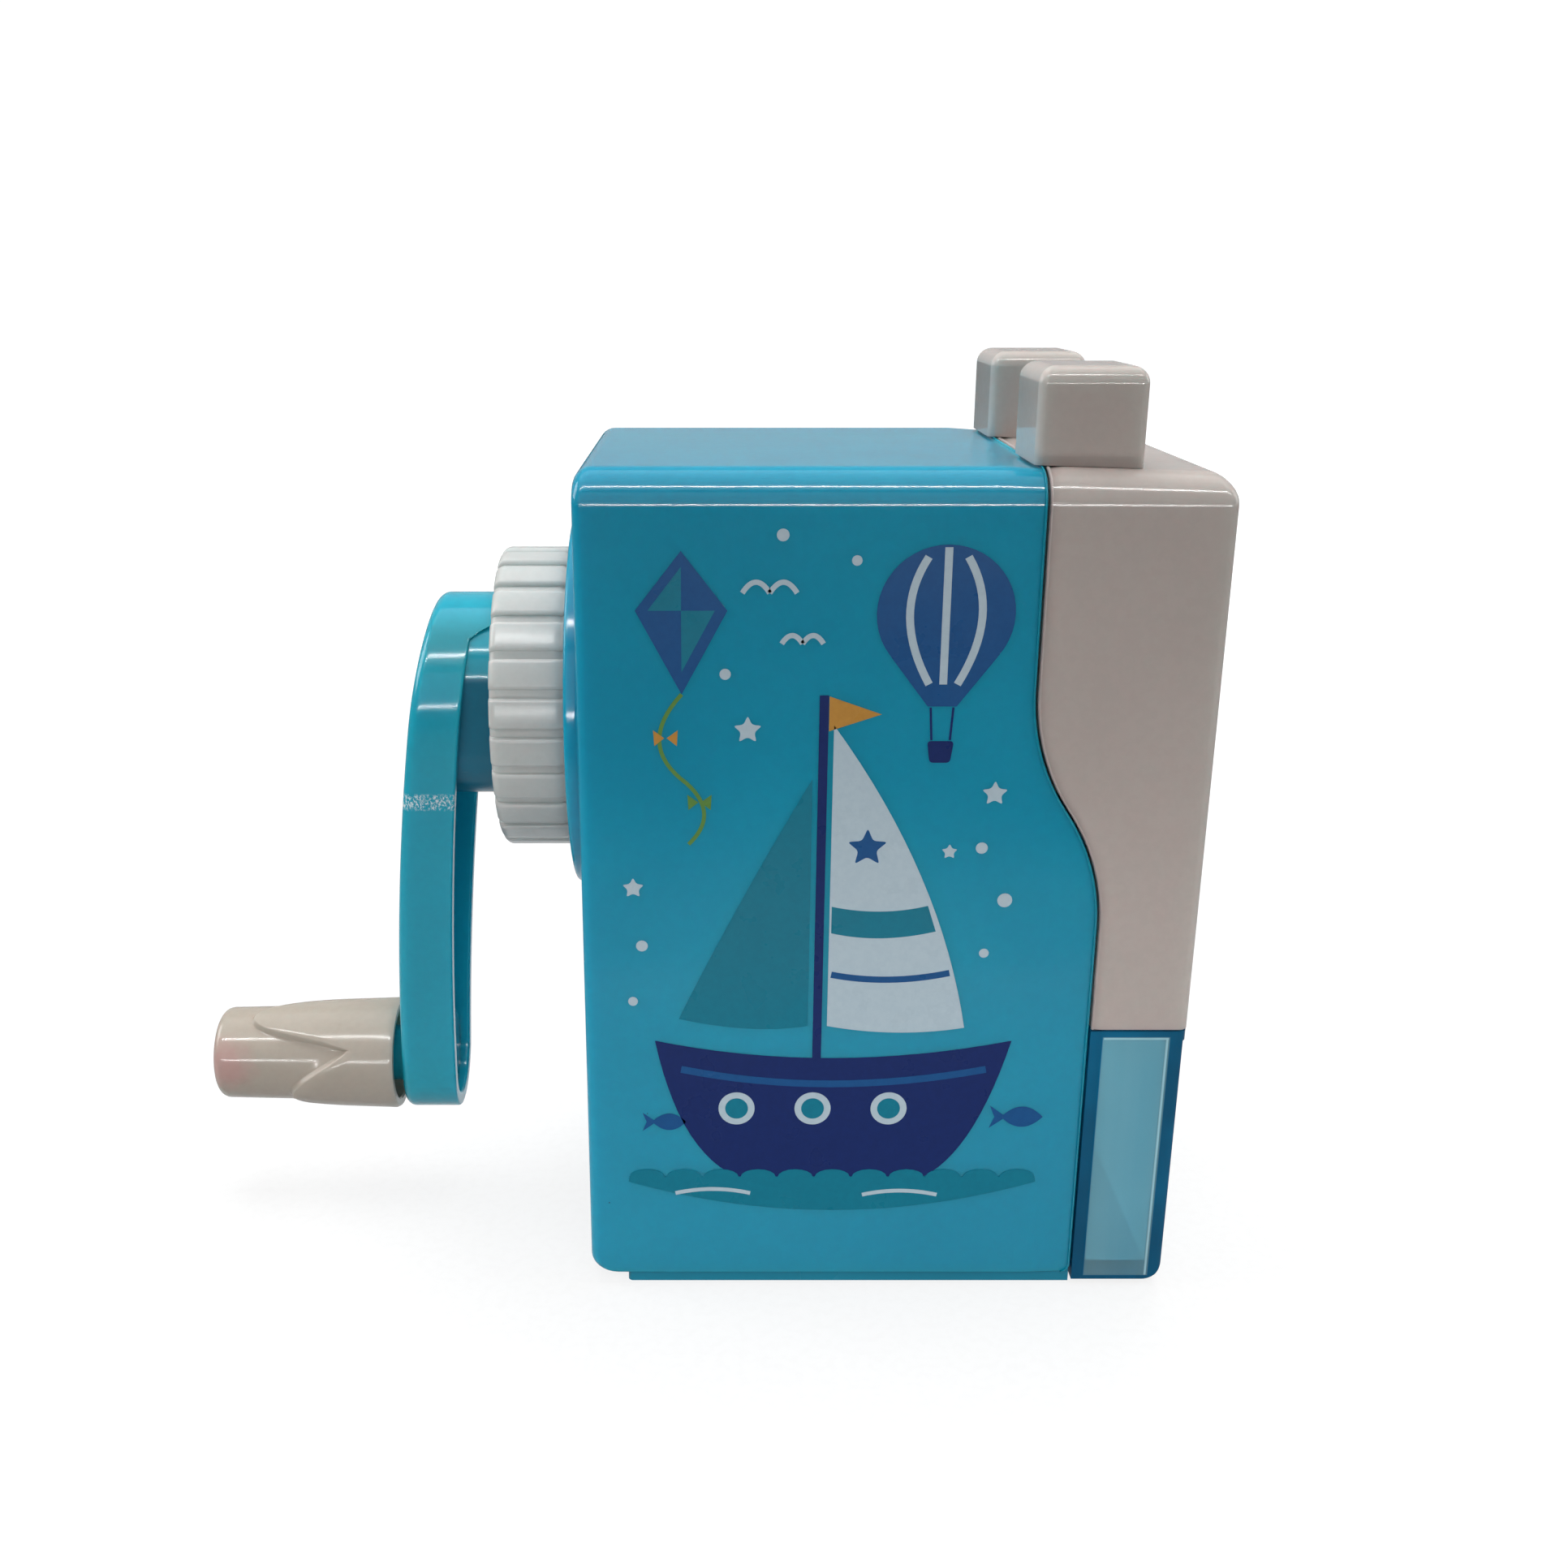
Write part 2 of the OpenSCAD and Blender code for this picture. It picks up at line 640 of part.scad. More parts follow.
// ---- Housing ----
module main_body() {
    color(blue) difference() {
        union() {
            difference() {
                intersection() {
                    along_x(x_rear, x_front) box_section(0, plinth_h);
                    along_y(-body_w / 2, body_w / 2) intersection() {
                        rounded(x_rear, plinth_h, x_front, body_h, low_left = foot_r, top_left = end_edge_r);
                        rounded(x_rear - over, plinth_h, x_part_low, body_h + over, low_right = front_foot_r);
                        behind_wave(0);
                    }
                    along_z(0, body_h) rounded(x_rear, -body_w / 2, x_front, body_w / 2,
                        low_left = upright_r, top_left = upright_r);
                }
                along_x(x_wall_in, x_front + over) box_section(wall, 0);
            }
            // round boss behind the collar
            at_axis() rod_x(x_rear - boss_t, x_rear + eps, boss_r);
            // columns for the bulkhead screws
            both_sides() for (z = [bulk_screw_low, bulk_screw_high])
                translate([0, bulk_screw_y, z]) intersection() {
                    union() {
                        rod_x(x_bulk_in - bulk_column_l, x_bulk_in, column_r);
                        block(x_bulk_in - bulk_column_l, x_bulk_in, 0, column_r + wall,
                            -rib_w / 2, rib_w / 2);
                    }
                    block(x_rear, x_front, -column_r, in_w - bulk_screw_y + hook_w, -column_r, column_r);
                }
            // columns for the base screws
            both_sides() translate([base_screw_x, base_screw_y, 0]) {
                translate([0, 0, z_plug_top]) cylinder(h = base_column_h, r = base_column_r);
                block(-rib_w / 2, rib_w / 2, 0, in_w - base_screw_y + hook_w,
                    z_plug_top, z_plug_top + base_column_h);
                block(x_wall_in - base_screw_x - hook_w, 0, -rib_w / 2, rib_w / 2,
                    z_plug_top, z_plug_top + base_column_h);
            }
        }
        // seat of the collar's spigot, with the bayonet notches
        at_axis() rod_x(x_rear - boss_t - over, x_wall_in + over, spigot_r + run_gap);
        at_axis() for (i = [0:2]) rotate([120 * i - twist_deg, 0, 0])
            lug_shape(x_rear - boss_t - over, x_wall_in + over, lug_h + notch_gap, lug_deg + notch_deg);
        both_sides() for (z = [bulk_screw_low, bulk_screw_high])
            translate([0, bulk_screw_y, z])
                rod_x(x_bulk_in - bulk_screw_l - screw_tip_gap, x_bulk_in + over, screw_r + seat_gap);
        both_sides() translate([base_screw_x, base_screw_y, z_plug_top - over])
            cylinder(h = base_screw_l + over, r = screw_r + seat_gap);
    }
}

// A bayonet lug: a slice of a ring around the axis
module lug_shape(x0, x1, h, deg) {
    intersection() {
        difference() {
            rod_x(x0, x1, spigot_r + h);
            rod_x(x0 - over, x1 + over, spigot_r - lug_root);
        }
        along_x(x0, x1) polygon([
            [0, 0],
            [2 * spigot_r * sin(deg / 2), 2 * spigot_r * cos(deg / 2)],
            [-2 * spigot_r * sin(deg / 2), 2 * spigot_r * cos(deg / 2)]]);
    }
}

module front_bulkhead() {
    color(blue) difference() {
        union() {
            intersection() {
                along_x(x_bulk_in, x_bulk) box_section(wall + fit_gap, 0);
                block(x_rear, x_front, -body_w, body_w, z_drawer_top + bulk_foot_gap, body_h);
            }
            at_axis() rod_x(x_bulk_boss, x_bulk_in + eps, nose_r + bearing_wall);
            both_sides() translate([0, rod_y, z_rod]) rod_x(x_bulk_boss, x_bulk_in + eps, guide_boss_r);
        }
        at_axis() rod_x(x_bulk_boss - over, x_bulk + over, nose_r + run_gap);
        both_sides() {
            translate([0, rod_y, z_rod]) rod_x(x_bulk_boss - over, x_bulk + over, rod_r + run_gap);
            for (z = [bulk_screw_low, bulk_screw_high]) translate([0, bulk_screw_y, z]) {
                rod_x(x_bulk_in - over, x_bulk + over, screw_r + screw_play);
                rod_x(x_bulk - bulk_sink, x_bulk + over, screw_head_r + head_play);
            }
        }
    }
}

module bulkhead_screws() {
    color(steel) both_sides() for (z = [bulk_screw_low, bulk_screw_high])
        translate([x_bulk - bulk_sink, bulk_screw_y, z]) mirror([1, 0, 0])
            screw_x(bulk_screw_l, screw_r, screw_head_r, screw_head_t);
}

module base_plate() {
    plate_w = body_w / 2 - plinth_inset;
    color("teal") difference() {
        union() {
            along_z(0, plinth_h - face_gap) rounded(x_rear + plinth_rear, -plate_w, x_part_low, plate_w,
                low_left = plinth_r, top_left = plinth_r);
            block(x_rear + plinth_rear - plinth_step_l, x_rear + plinth_rear + eps,
                -plate_w + plinth_step_in, plate_w - plinth_step_in, step_lift, plinth_h - face_gap);
            block(x_wall_in + fit_gap, x_part_low - plug_front, -in_w + fit_gap, in_w - fit_gap,
                plinth_h / 2, z_plug_top - face_gap);
        }
        both_sides() translate([base_screw_x, base_screw_y, 0]) {
            translate([0, 0, -over]) cylinder(h = z_plug_top + 2 * over, r = screw_r + screw_play);
            translate([0, 0, -over]) cylinder(h = over + base_sink, r = screw_head_r + head_play);
        }
        // hollow under the plate, so that it rests on its rim
        block(x_rear + plinth_rear + base_rim_rear, x_part_low - base_rim,
            -plate_w + base_rim, plate_w - base_rim, -over, base_hollow_d);
    }
}

module base_screws() {
    color(steel) both_sides() translate([base_screw_x, base_screw_y, base_sink])
        rotate([0, -90, 0]) screw_x(base_screw_l, screw_r, screw_head_r, screw_head_t);
}

// ---- Collar ----
module knurled_collar() {
    color(white) at_axis() difference() {
        union() {
            rotate([0, -90, 0]) translate([0, 0, -x_collar_in]) rotate_extrude()
                rounded(0, 0, collar_r, collar_l, low_right = collar_heel_r, top_right = rim_r);
            rod_x(x_collar_in - eps, x_spigot_end, spigot_r);
            for (i = [0:2]) rotate([120 * i, 0, 0]) lug_shape(x_lug, x_spigot_end, lug_h, lug_deg);
        }
        difference() {
            rod_x(x_collar_out + collar_face_t, x_spigot_end + over, spigot_bore_r);
            rod_x(x_collar_out, x_bearing_end, shaft_r + bearing_wall);
        }
        rod_x(x_collar_out - over, x_bearing_end + over, shaft_r + run_gap);
        for (i = [0:groove_n - 1]) rotate([180 * (2 * i + 1) / groove_n, 0, 0])
            block(x_collar_out - over, x_collar_in + over, collar_r - groove_d, collar_r + over,
                -groove_w / 2, groove_w / 2);
    }
}

module ring_gear() {
    color(steel) at_axis() difference() {
        union() {
            rod_x(x_spigot_end, x_ring_end, ring_r);
            rod_x(x_spigot_end - ring_seat_l, x_spigot_end + eps, spigot_bore_r - seat_gap);
        }
        along_x(x_spigot_end - ring_seat_l - over, x_ring_end + over) rotate(90)
            gear_outline(ring_n, ring_tip_r, ring_pitch_r + ring_ded, ring_root_deg, ring_tip_deg);
    }
}

// ---- Crank ----
module crank_shaft() {
    color(steel) at_axis() difference() {
        union() {
            rod_x(x_collar_out, x_shaft_end, shaft_r);
            translate([x_hex_end, 0, 0]) rotate([0, 90, 0])
                cylinder(h = x_collar_out - x_hex_end + eps, r = hex_r, $fn = 6);
        }
        rod_x(x_hex_end - over, x_hex_end + crank_screw_l, crank_screw_r + seat_gap);
        translate([x_shaft_pin, 0, -shaft_r - over])
            cylinder(h = 2 * (shaft_r + over), r = shaft_pin_r + seat_gap);
    }
}

module shaft_pin() {
    half_l = carrier_hub_r - shaft_pin_sink;
    color(steel) at_axis() translate([x_shaft_pin, 0, -half_l]) cylinder(h = 2 * half_l, r = shaft_pin_r);
}

module cutter_carrier() {
    color("gray") difference() {
        union() {
            at_axis() rod_x(x_carrier_hub, x_carrier_hub_end, carrier_hub_r);
            at_axis() rod_x(x_carrier_plate, x_carrier_plate + carrier_plate_t, carrier_plate_r);
            at_axis() rod_x(x_carrier_plate, x_bulk - thrust_gap, nose_r);
            // strut inside the ring gear, then the wider one beside the cutter
            at_axis() intersection() {
                rod_x(x_carrier_hub_end - eps, x_carrier_plate + eps, carrier_hub_r);
                block(x_rear, x_front, -strut_w / 2, strut_w / 2, -carrier_hub_r, -carrier_chord);
            }
            at_axis() intersection() {
                rod_x(x_ring_end + carrier_gap, x_carrier_plate + eps, carrier_plate_r - strut_step);
                block(x_rear, x_front, -strut_w / 2, strut_w / 2, -carrier_plate_r, -carrier_chord);
            }
        }
        at_axis() rod_x(x_carrier_hub - over, x_shaft_end + fit_gap, shaft_r + seat_gap);
        at_axis() rod_x(x_carrier_plate - over, x_bulk + over, guide_r);
        at_axis() translate([x_shaft_pin, 0, -carrier_hub_r - over])
            cylinder(h = 2 * (carrier_hub_r + over), r = shaft_pin_r + seat_gap);
        at_cutter() translate([0, 0, -pin_rear - fit_gap])
            cylinder(h = pin_rear + fit_gap + pin_front + carrier_plate_t, r = pin_r + seat_gap);
    }
}

module cutter_pin() {
    color(steel) at_cutter() translate([0, 0, -pin_rear]) cylinder(h = pin_rear + pin_front, r = pin_r);
}

// Outline of the arm seen along X, inset by its wall
module arm_outline(inset) {
    a = hub_end_r - inset;
    b = grip_end_r - inset;
    translate([0, axis_h]) circle(r = a);
    translate([0, z_grip]) circle(r = b);
    polygon([
        [a * arm_side, axis_h - a * arm_lean], [b * arm_side, z_grip - b * arm_lean],
        [-b * arm_side, z_grip - b * arm_lean], [-a * arm_side, axis_h - a * arm_lean]]);
}

// Everything on the collar side of the arm's bowed outer face, seen along -Y
module inside_bow(inset) {
    intersection() {
        translate([x_arm_low + arm_bow_r, z_bow]) circle(r = arm_bow_r - inset, $fn = bow_fn);
        translate([x_arm_low - over, 0]) square([arm_reach + 2 * over, body_h]);
    }
}

module crank_arm() {
    color(blue) difference() {
        union() {
            // channel
            difference() {
                intersection() {
                    along_x(x_arm_low - over, x_collar_out) arm_outline(0);
                    along_y(-body_w / 2, body_w / 2) difference() {
                        inside_bow(0);
                        translate([x_arm_rim_low + arm_rim_bow_r, z_bow])
                            circle(r = arm_rim_bow_r, $fn = bow_fn);
                    }
                }
                intersection() {
                    along_x(x_arm_low, x_collar_out + over) arm_outline(arm_wall);
                    along_y(-body_w / 2, body_w / 2) inside_bow(arm_face_t);
                }
            }
            // hub around the shaft
            intersection() {
                at_axis() rod_x(x_arm_low, x_hub, hub_r);
                along_y(-body_w / 2, body_w / 2) inside_bow(arm_face_t / 2);
            }
            // root and pin of the grip
            translate([0, 0, z_grip])
                rod_x(x_arm_grip + arm_face_t / 2, x_arm_grip + arm_depth - pin_root_gap,
                    grip_end_r - arm_wall / 2);
            translate([0, 0, z_grip]) rod_x(x_pin_end, x_arm_grip + arm_face_t, grip_pin_r);
        }
        at_axis() translate([x_hex_end - fit_gap, 0, 0]) rotate([0, 90, 0])
            cylinder(h = x_hub - x_hex_end + fit_gap + over, r = hex_r + hex_gap, $fn = 6);
        at_axis() rod_x(x_arm_low - over, x_hex_end + over, crank_screw_r + screw_play);
        at_axis() rod_x(x_arm_low - over, x_arm_hub + hub_face_t, crank_screw_head_r + head_play);
        translate([0, 0, z_grip])
            rod_x(x_pin_end - over, x_pin_end + grip_screw_l + over, screw_r + seat_gap);
    }
}

module crank_screw() {
    color(steel) at_axis() translate([x_arm_hub + hub_face_t, 0, 0])
        screw_x(crank_screw_l, crank_screw_r, crank_screw_head_r, screw_head_t);
}

module grip_screw() {
    color(steel) translate([x_pin_end, 0, z_grip]) difference() {
        union() {
            rod_x(-washer_t, 0, washer_r);
            rod_x(-eps, grip_screw_l, screw_r);
        }
        cross_cut(screw_head_r, washer_t);
    }
}

// ---- Cutter ----
module helical_cutter() {
    color(steel) at_cutter() difference() {
        translate([0, 0, cutter_start])
            linear_extrude(height = cutter_l, twist = flute_twist, slices = flute_slices)
            gear_outline(flute_n, cutter_r - flute_d, cutter_r, 90 / flute_n, flute_tip_deg);
        translate([0, 0, cutter_start - over]) cylinder(h = cutter_l + 2 * over, r = pin_r + run_gap);
    }
}

module cutter_pinion() {
    color(steel) at_cutter() difference() {
        union() {
            translate([0, 0, -pinion_w / 2]) linear_extrude(height = pinion_w) rotate(180)
                gear_outline(pinion_n, pinion_pitch_r - pinion_ded, pinion_pitch_r + pinion_add,
                    pinion_root_deg, pinion_tip_deg);
            translate([0, 0, pinion_w / 2 - eps]) cylinder(h = sleeve_l + eps, r = sleeve_r);
        }
        translate([0, 0, -pinion_w / 2 - over])
            cylinder(h = pinion_w + sleeve_l + 2 * over, r = pin_r + run_gap);
    }
}

// ---- Grip ----
// Tapered core with a rounded outer end
module grip_core() {
    rotate([0, -90, 0]) rotate_extrude() intersection() {
        polygon([[0, 0], [grip_r - step_h, 0], [grip_tip_r, grip_l], [0, grip_l]]);
        rounded(0, 0, grip_tip_r + over, grip_l, top_right = grip_rim_r + over);
    }
}

// Sleeve that stands proud of the core by the height of the step
module grip_sleeve() {
    rotate([0, -90, 0]) rotate_extrude() polygon([
        [0, 0], [grip_r, 0], [grip_tip_r + step_h, grip_sleeve_l], [0, grip_sleeve_l]]);
}

// Wedges that cut the zigzag into the sleeve, each one pointing to the arm
module zigzag_waste() {
    half_w = grip_r * tan(180 / zigzag_n) * zig_share;
    for (i = [0:zigzag_n - 1]) rotate([360 * i / zigzag_n + zig_turn, 0, 0])
        along_z(0, 2 * grip_r) polygon([
            [-zig_start, 0], [-grip_sleeve_l - over, -half_w], [-grip_sleeve_l - over, half_w]]);
}

module grip() {
    color(white) translate([x_grip_in, 0, z_grip]) difference() {
        union() {
            grip_core();
            difference() {
                grip_sleeve();
                zigzag_waste();
            }
        }
        rod_x(-grip_l - over, over, grip_pin_r + run_gap);
        rod_x(-grip_open_d, over, grip_r - grip_wall);
        rod_x(-grip_l - over, x_grip_seat - x_grip_in, washer_r + washer_play);
    }
}

// ---- Carriage ----
module front_cover() {
    color(white) difference() {
        union() {
            difference() {
                intersection() {
                    along_x(x_rear, x_front) box_section(0, z_drawer_top + line_gap);
                    along_y(-body_w / 2, body_w / 2) difference() {
                        rounded(x_part, z_drawer_top + line_gap, x_front, body_h, top_right = front_edge_r);
                        behind_wave(line_gap);
                    }
                    along_z(0, body_h) rounded(x_rear, -body_w / 2, x_front, body_w / 2,
                        low_right = upright_r, top_right = upright_r);
                }
                along_x(x_rear, x_cover_in) box_section(wall, 0);
            }
            both_sides() for (z = [clamp_screw_low, clamp_screw_high]) translate([0, clamp_screw_y, z])
                intersection() {
                    rod_x(x_clamp_front, x_cover_in + eps, column_r);
                    block(0, x_front, -column_r, in_w - clamp_screw_y + hook_w, -column_r, column_r);
                }
        }
        at_axis() rod_x(x_cover_in - over, x_front + over, pencil_hole_r);
        at_axis() translate([x_front - funnel_d, 0, 0]) rotate([0, 90, 0])
            cylinder(h = funnel_d + eps, r1 = pencil_hole_r, r2 = pencil_hole_r + funnel_w);
        both_sides() for (z = [clamp_screw_low, clamp_screw_high])
            translate([0, clamp_screw_y, z]) rod_x(x_clamp_front - over, x_cover_in, screw_r + seat_gap);
        // slots for the stems of the squeeze tabs
        both_sides() block(x_layer_far - slot_play, x_layer_near + jaw_t + slot_play,
            stem_y - stem_w - tab_travel - slot_play, stem_y + slot_play, in_h - over, body_h + over);
    }
}

module clamp_housing() {
    color(white) difference() {
        union() {
            block(x_clamp, x_clamp_front - face_gap, -clamp_w, clamp_w, z_clamp_low, z_clamp_high);
            both_sides() for (z = [clamp_screw_low, clamp_screw_high])
                translate([0, clamp_screw_y, z])
                    rod_x(x_retainer + clamp_plate_t + face_gap, x_clamp + eps, clamp_column_r);
            // pencil guide behind the front wall
            at_axis() rod_x(x_clamp, x_cover_in - face_gap, guide_r + guide_wall);
            // rail under the jaw plates and post between the springs
            block(x_retainer + clamp_plate_t + face_gap, x_clamp + eps, -post_w * 2, post_w * 2,
                jaw_low - jaw_gap - rail_t, jaw_low - jaw_gap);
            block(x_retainer + clamp_plate_t + face_gap, x_clamp + eps, -post_w / 2, post_w / 2,
                jaw_top + jaw_gap, z_jaw_spring + jaw_spring_r + post_top);
        }
        at_axis() rod_x(x_clamp - over, x_cover_in + over, guide_r);
        both_sides() {
            translate([0, rod_y, z_rod]) rod_x(x_clamp - over, x_clamp_front + over, rod_r + seat_gap);
            for (z = [clamp_screw_low, clamp_screw_high])
                translate([0, clamp_screw_y, z])
                    rod_x(x_retainer, x_clamp_front + over, screw_r + screw_play);
        }
    }
}

module clamp_retainer() {
    color(white) difference() {
        block(x_retainer, x_retainer + clamp_plate_t, -clamp_w, clamp_w, z_clamp_low, z_clamp_high);
        at_axis() rod_x(x_retainer - over, x_retainer + clamp_plate_t + over, guide_r);
        both_sides() {
            translate([0, rod_y, z_rod])
                rod_x(x_retainer - over, x_retainer + clamp_plate_t + over, rod_r + seat_gap);
            for (z = [clamp_screw_low, clamp_screw_high]) translate([0, clamp_screw_y, z])
                rod_x(x_retainer - over, x_retainer + clamp_plate_t + over, screw_r + screw_play);
        }
    }
}

module clamp_screws() {
    color(steel) both_sides() for (z = [clamp_screw_low, clamp_screw_high])
        translate([x_retainer, clamp_screw_y, z])
            screw_x(x_cover_in - x_retainer - screw_tip_gap, screw_r, screw_head_r, screw_head_t);
}

module guide_rods() {
    color(steel) both_sides() translate([0, rod_y, z_rod]) difference() {
        rod_x(x_washer, x_clamp_front - fit_gap, rod_r);
        rod_x(x_washer - over, x_washer + rod_screw_l + screw_tip_gap, rod_screw_r + seat_gap);
    }
}

module rod_washers() {
    color(steel) both_sides() translate([0, rod_y, z_rod]) difference() {
        rod_x(x_washer - rod_washer_t, x_washer, rod_washer_r);
        rod_x(x_washer - rod_washer_t - over, x_washer + over, rod_screw_r + rod_washer_play);
    }
}

module rod_screws() {
    color(steel) both_sides() translate([x_washer - rod_washer_t, rod_y, z_rod])
        screw_x(rod_washer_t + rod_screw_l, rod_screw_r, rod_screw_head_r, rod_screw_head_t);
}

module feed_springs() {
    color(steel) both_sides() translate([x_washer, rod_y, z_rod]) rotate([0, 90, 0])
        coil(feed_l, feed_r, feed_wire_r, feed_turns);
}

// ---- Squeeze tabs, drawn on the +Y side; x0 is the rear face of the tab's own jaw plate ----
module tab_and_jaw(x0) {
    z_tab = body_h + tab_gap;
    soft_r = tab_r * soft_share;
    difference() {
        union() {
            intersection() {
                along_y(tab_in_y, tab_y) rounded(x_tab, z_tab, x_tab + tab_l, body_h + tab_h,
                    top_right = tab_r, top_left = soft_r);
                along_z(z_tab, body_h + tab_h)
                    rounded(x_tab, tab_in_y, x_tab + tab_l, tab_y, soft_r, tab_r, tab_r, soft_r);
                along_x(x_tab, x_tab + tab_l)
                    rounded(tab_in_y, z_tab, tab_y, body_h + tab_h, top_right = soft_r, top_left = soft_r);
            }
            // stem through the slot
            block(x_layer_far, x_layer_near + jaw_t, stem_y - stem_w, stem_y, jaw_top + jaw_gap, z_tab + eps);
            // jaw plate that reaches past the pencil to the other side
            block(x0, x0 + jaw_t, stem_y - stem_w, stem_y, jaw_top - over, jaw_top + jaw_gap + eps);
            block(x0, x0 + jaw_t, -jaw_end_y, stem_y, jaw_low, jaw_top);
        }
        block(x0 - over, x0 + jaw_t + over, -pad_seat_y, window_y, axis_h - window_h, axis_h + window_h);
    }
}

module jaw_pad(x0) {
    difference() {
        block(x0, x0 + jaw_t, -pad_seat_y, -pad_seat_y + pad_t, axis_h - pad_h / 2, axis_h + pad_h / 2);
        translate([x0 - over, -jaw_close + eps, axis_h]) rotate([0, 90, 0])
            cylinder(h = jaw_t + 2 * over, r = pad_notch_r, $fn = 4);
    }
}

module jaw_spring() {
    translate([x_jaw_spring, post_w / 2, z_jaw_spring]) rotate([-90, 0, 0])
        coil(stem_y - stem_w - post_w / 2, jaw_spring_r - jaw_wire_r, jaw_wire_r, jaw_turns);
}

module near_tab() {
    color(white) mirror([0, 1, 0]) tab_and_jaw(x_layer_near);
}

module near_jaw_pad() {
    color("dimgray") mirror([0, 1, 0]) jaw_pad(x_layer_near);
}

module near_spring() {
    color(steel) mirror([0, 1, 0]) jaw_spring();
}

module far_tab() {
    color(white) tab_and_jaw(x_layer_far);
}

module far_jaw_pad() {
    color("dimgray") jaw_pad(x_layer_far);
}

module far_spring() {
    color(steel) jaw_spring();
}

// ---- Drawer ----
module shavings_drawer() {
    z_tray_top = z_drawer_top - lip_t;
    in_y = body_w / 2 - drawer_wall;
    x_below_lip = x_drawer_front - lip_proud;
    in_front = x_below_lip - drawer_wall;
    color("dodgerblue", 0.6) difference() {
        union() {
            intersection() {
                along_y(-body_w / 2, body_w / 2) {
                    rounded(x_drawer, drawer_lift, x_below_lip, z_drawer_top, low_right = foot_r);
                    translate([x_drawer, z_tray_top]) square([x_drawer_front - x_drawer, lip_t]);
                }
                along_z(0, body_h) rounded(x_drawer, -body_w / 2, x_drawer_front, body_w / 2,
                    low_right = upright_r, top_right = upright_r);
            }
            block(x_drawer - tray_l, x_drawer + eps, -tray_w, tray_w, z_tray, z_tray_top);
        }
        // hollow of the front and of the tray
        block(x_drawer + drawer_wall, in_front, -in_y, in_y, drawer_lift + drawer_floor, z_drawer_top + over);
        block(x_drawer - tray_l + drawer_wall, in_front, -tray_w + drawer_wall, tray_w - drawer_wall,
            z_tray + drawer_floor, z_drawer_top + over);
    }
}

main_body();
front_bulkhead();
base_plate();
base_screws();
bulkhead_screws();
knurled_collar();
ring_gear();
crank_shaft();
shaft_pin();
cutter_carrier();
cutter_pin();
crank_arm();
crank_screw();
grip_screw();
helical_cutter();
cutter_pinion();
grip();
front_cover();
clamp_housing();
clamp_retainer();
clamp_screws();
guide_rods();
rod_washers();
rod_screws();
feed_springs();
near_tab();
near_jaw_pad();
near_spring();
far_tab();
far_jaw_pad();
far_spring();
shavings_drawer();
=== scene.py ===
"""Crank pencil sharpener: the finish of every surface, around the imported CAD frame."""
import math

import bmesh
import bpy
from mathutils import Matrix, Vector, noise
from mathutils.geometry import tessellate_polygon

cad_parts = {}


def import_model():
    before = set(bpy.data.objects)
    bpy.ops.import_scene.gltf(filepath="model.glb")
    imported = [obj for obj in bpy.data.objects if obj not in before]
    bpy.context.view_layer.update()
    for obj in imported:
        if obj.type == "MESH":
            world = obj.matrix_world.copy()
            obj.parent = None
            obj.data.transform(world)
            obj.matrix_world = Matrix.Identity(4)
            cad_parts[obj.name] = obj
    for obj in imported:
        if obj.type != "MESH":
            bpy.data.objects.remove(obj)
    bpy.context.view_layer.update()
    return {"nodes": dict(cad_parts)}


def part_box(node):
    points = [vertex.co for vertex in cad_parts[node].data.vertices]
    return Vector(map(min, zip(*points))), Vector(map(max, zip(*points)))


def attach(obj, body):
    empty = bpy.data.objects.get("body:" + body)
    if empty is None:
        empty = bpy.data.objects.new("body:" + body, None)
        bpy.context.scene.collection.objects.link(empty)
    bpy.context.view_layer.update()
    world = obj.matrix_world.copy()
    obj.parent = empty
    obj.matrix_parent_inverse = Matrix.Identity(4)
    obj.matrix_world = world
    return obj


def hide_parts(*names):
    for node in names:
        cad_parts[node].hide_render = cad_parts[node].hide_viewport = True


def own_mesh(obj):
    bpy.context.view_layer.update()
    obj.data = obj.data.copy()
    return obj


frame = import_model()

MM = 0.001
SHARP = 32.0


def box_mm(node):
    """Lowest and highest corner of a CAD node, in millimetres."""
    low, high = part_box(node)
    return low / MM, high / MM


# ---- Sizes, in millimetres; the places come from the frame ----
BODY_LOW, BODY_HIGH = box_mm("main_body")
COVER_LOW, COVER_HIGH = box_mm("front_cover")
DRAWER_LOW, DRAWER_HIGH = box_mm("shavings_drawer")
COLLAR_LOW, COLLAR_HIGH = box_mm("knurled_collar")
SHAFT_LOW, SHAFT_HIGH = box_mm("crank_shaft")
GRIP_LOW, GRIP_HIGH = box_mm("grip")
ARM_TOP = box_mm("crank_arm")[1].z

WALL = 2.0
REAR_WALL = 2.4
LINE_GAP = 0.2
BOSS_T = 1.5
HALF_W = BODY_HIGH.y
TOP = BODY_HIGH.z
BODY_FOOT = BODY_LOW.z
X_FRONT = COVER_HIGH.x
X_REAR = BODY_LOW.x + BOSS_T
X_REAR_INSIDE = X_REAR + REAR_WALL
X_PART_LOW = BODY_HIGH.x
X_PART = COVER_LOW.x
AXIS_H = (SHAFT_LOW.z + SHAFT_HIGH.z) / 2
Z_GRIP = (GRIP_LOW.z + GRIP_HIGH.z) / 2
BOSS_R = HALF_W - 1.75
BOSS_EDGE_R = 0.45
BOSS_FOOT_R = 0.4
SPIGOT_R = 14.4
SPIGOT_EDGE = 0.3
LONG_EDGE_R = 3.5
END_EDGE_R = 1.8
FRONT_EDGE_R = 2.6
UPRIGHT_R = 1.0
FOOT_R = 2.0
FRONT_FOOT_R = 0.8
LIP_R = 0.25
WAVE_R = 21.8
WAVE_H = 54.5
PENCIL_R = 4.25
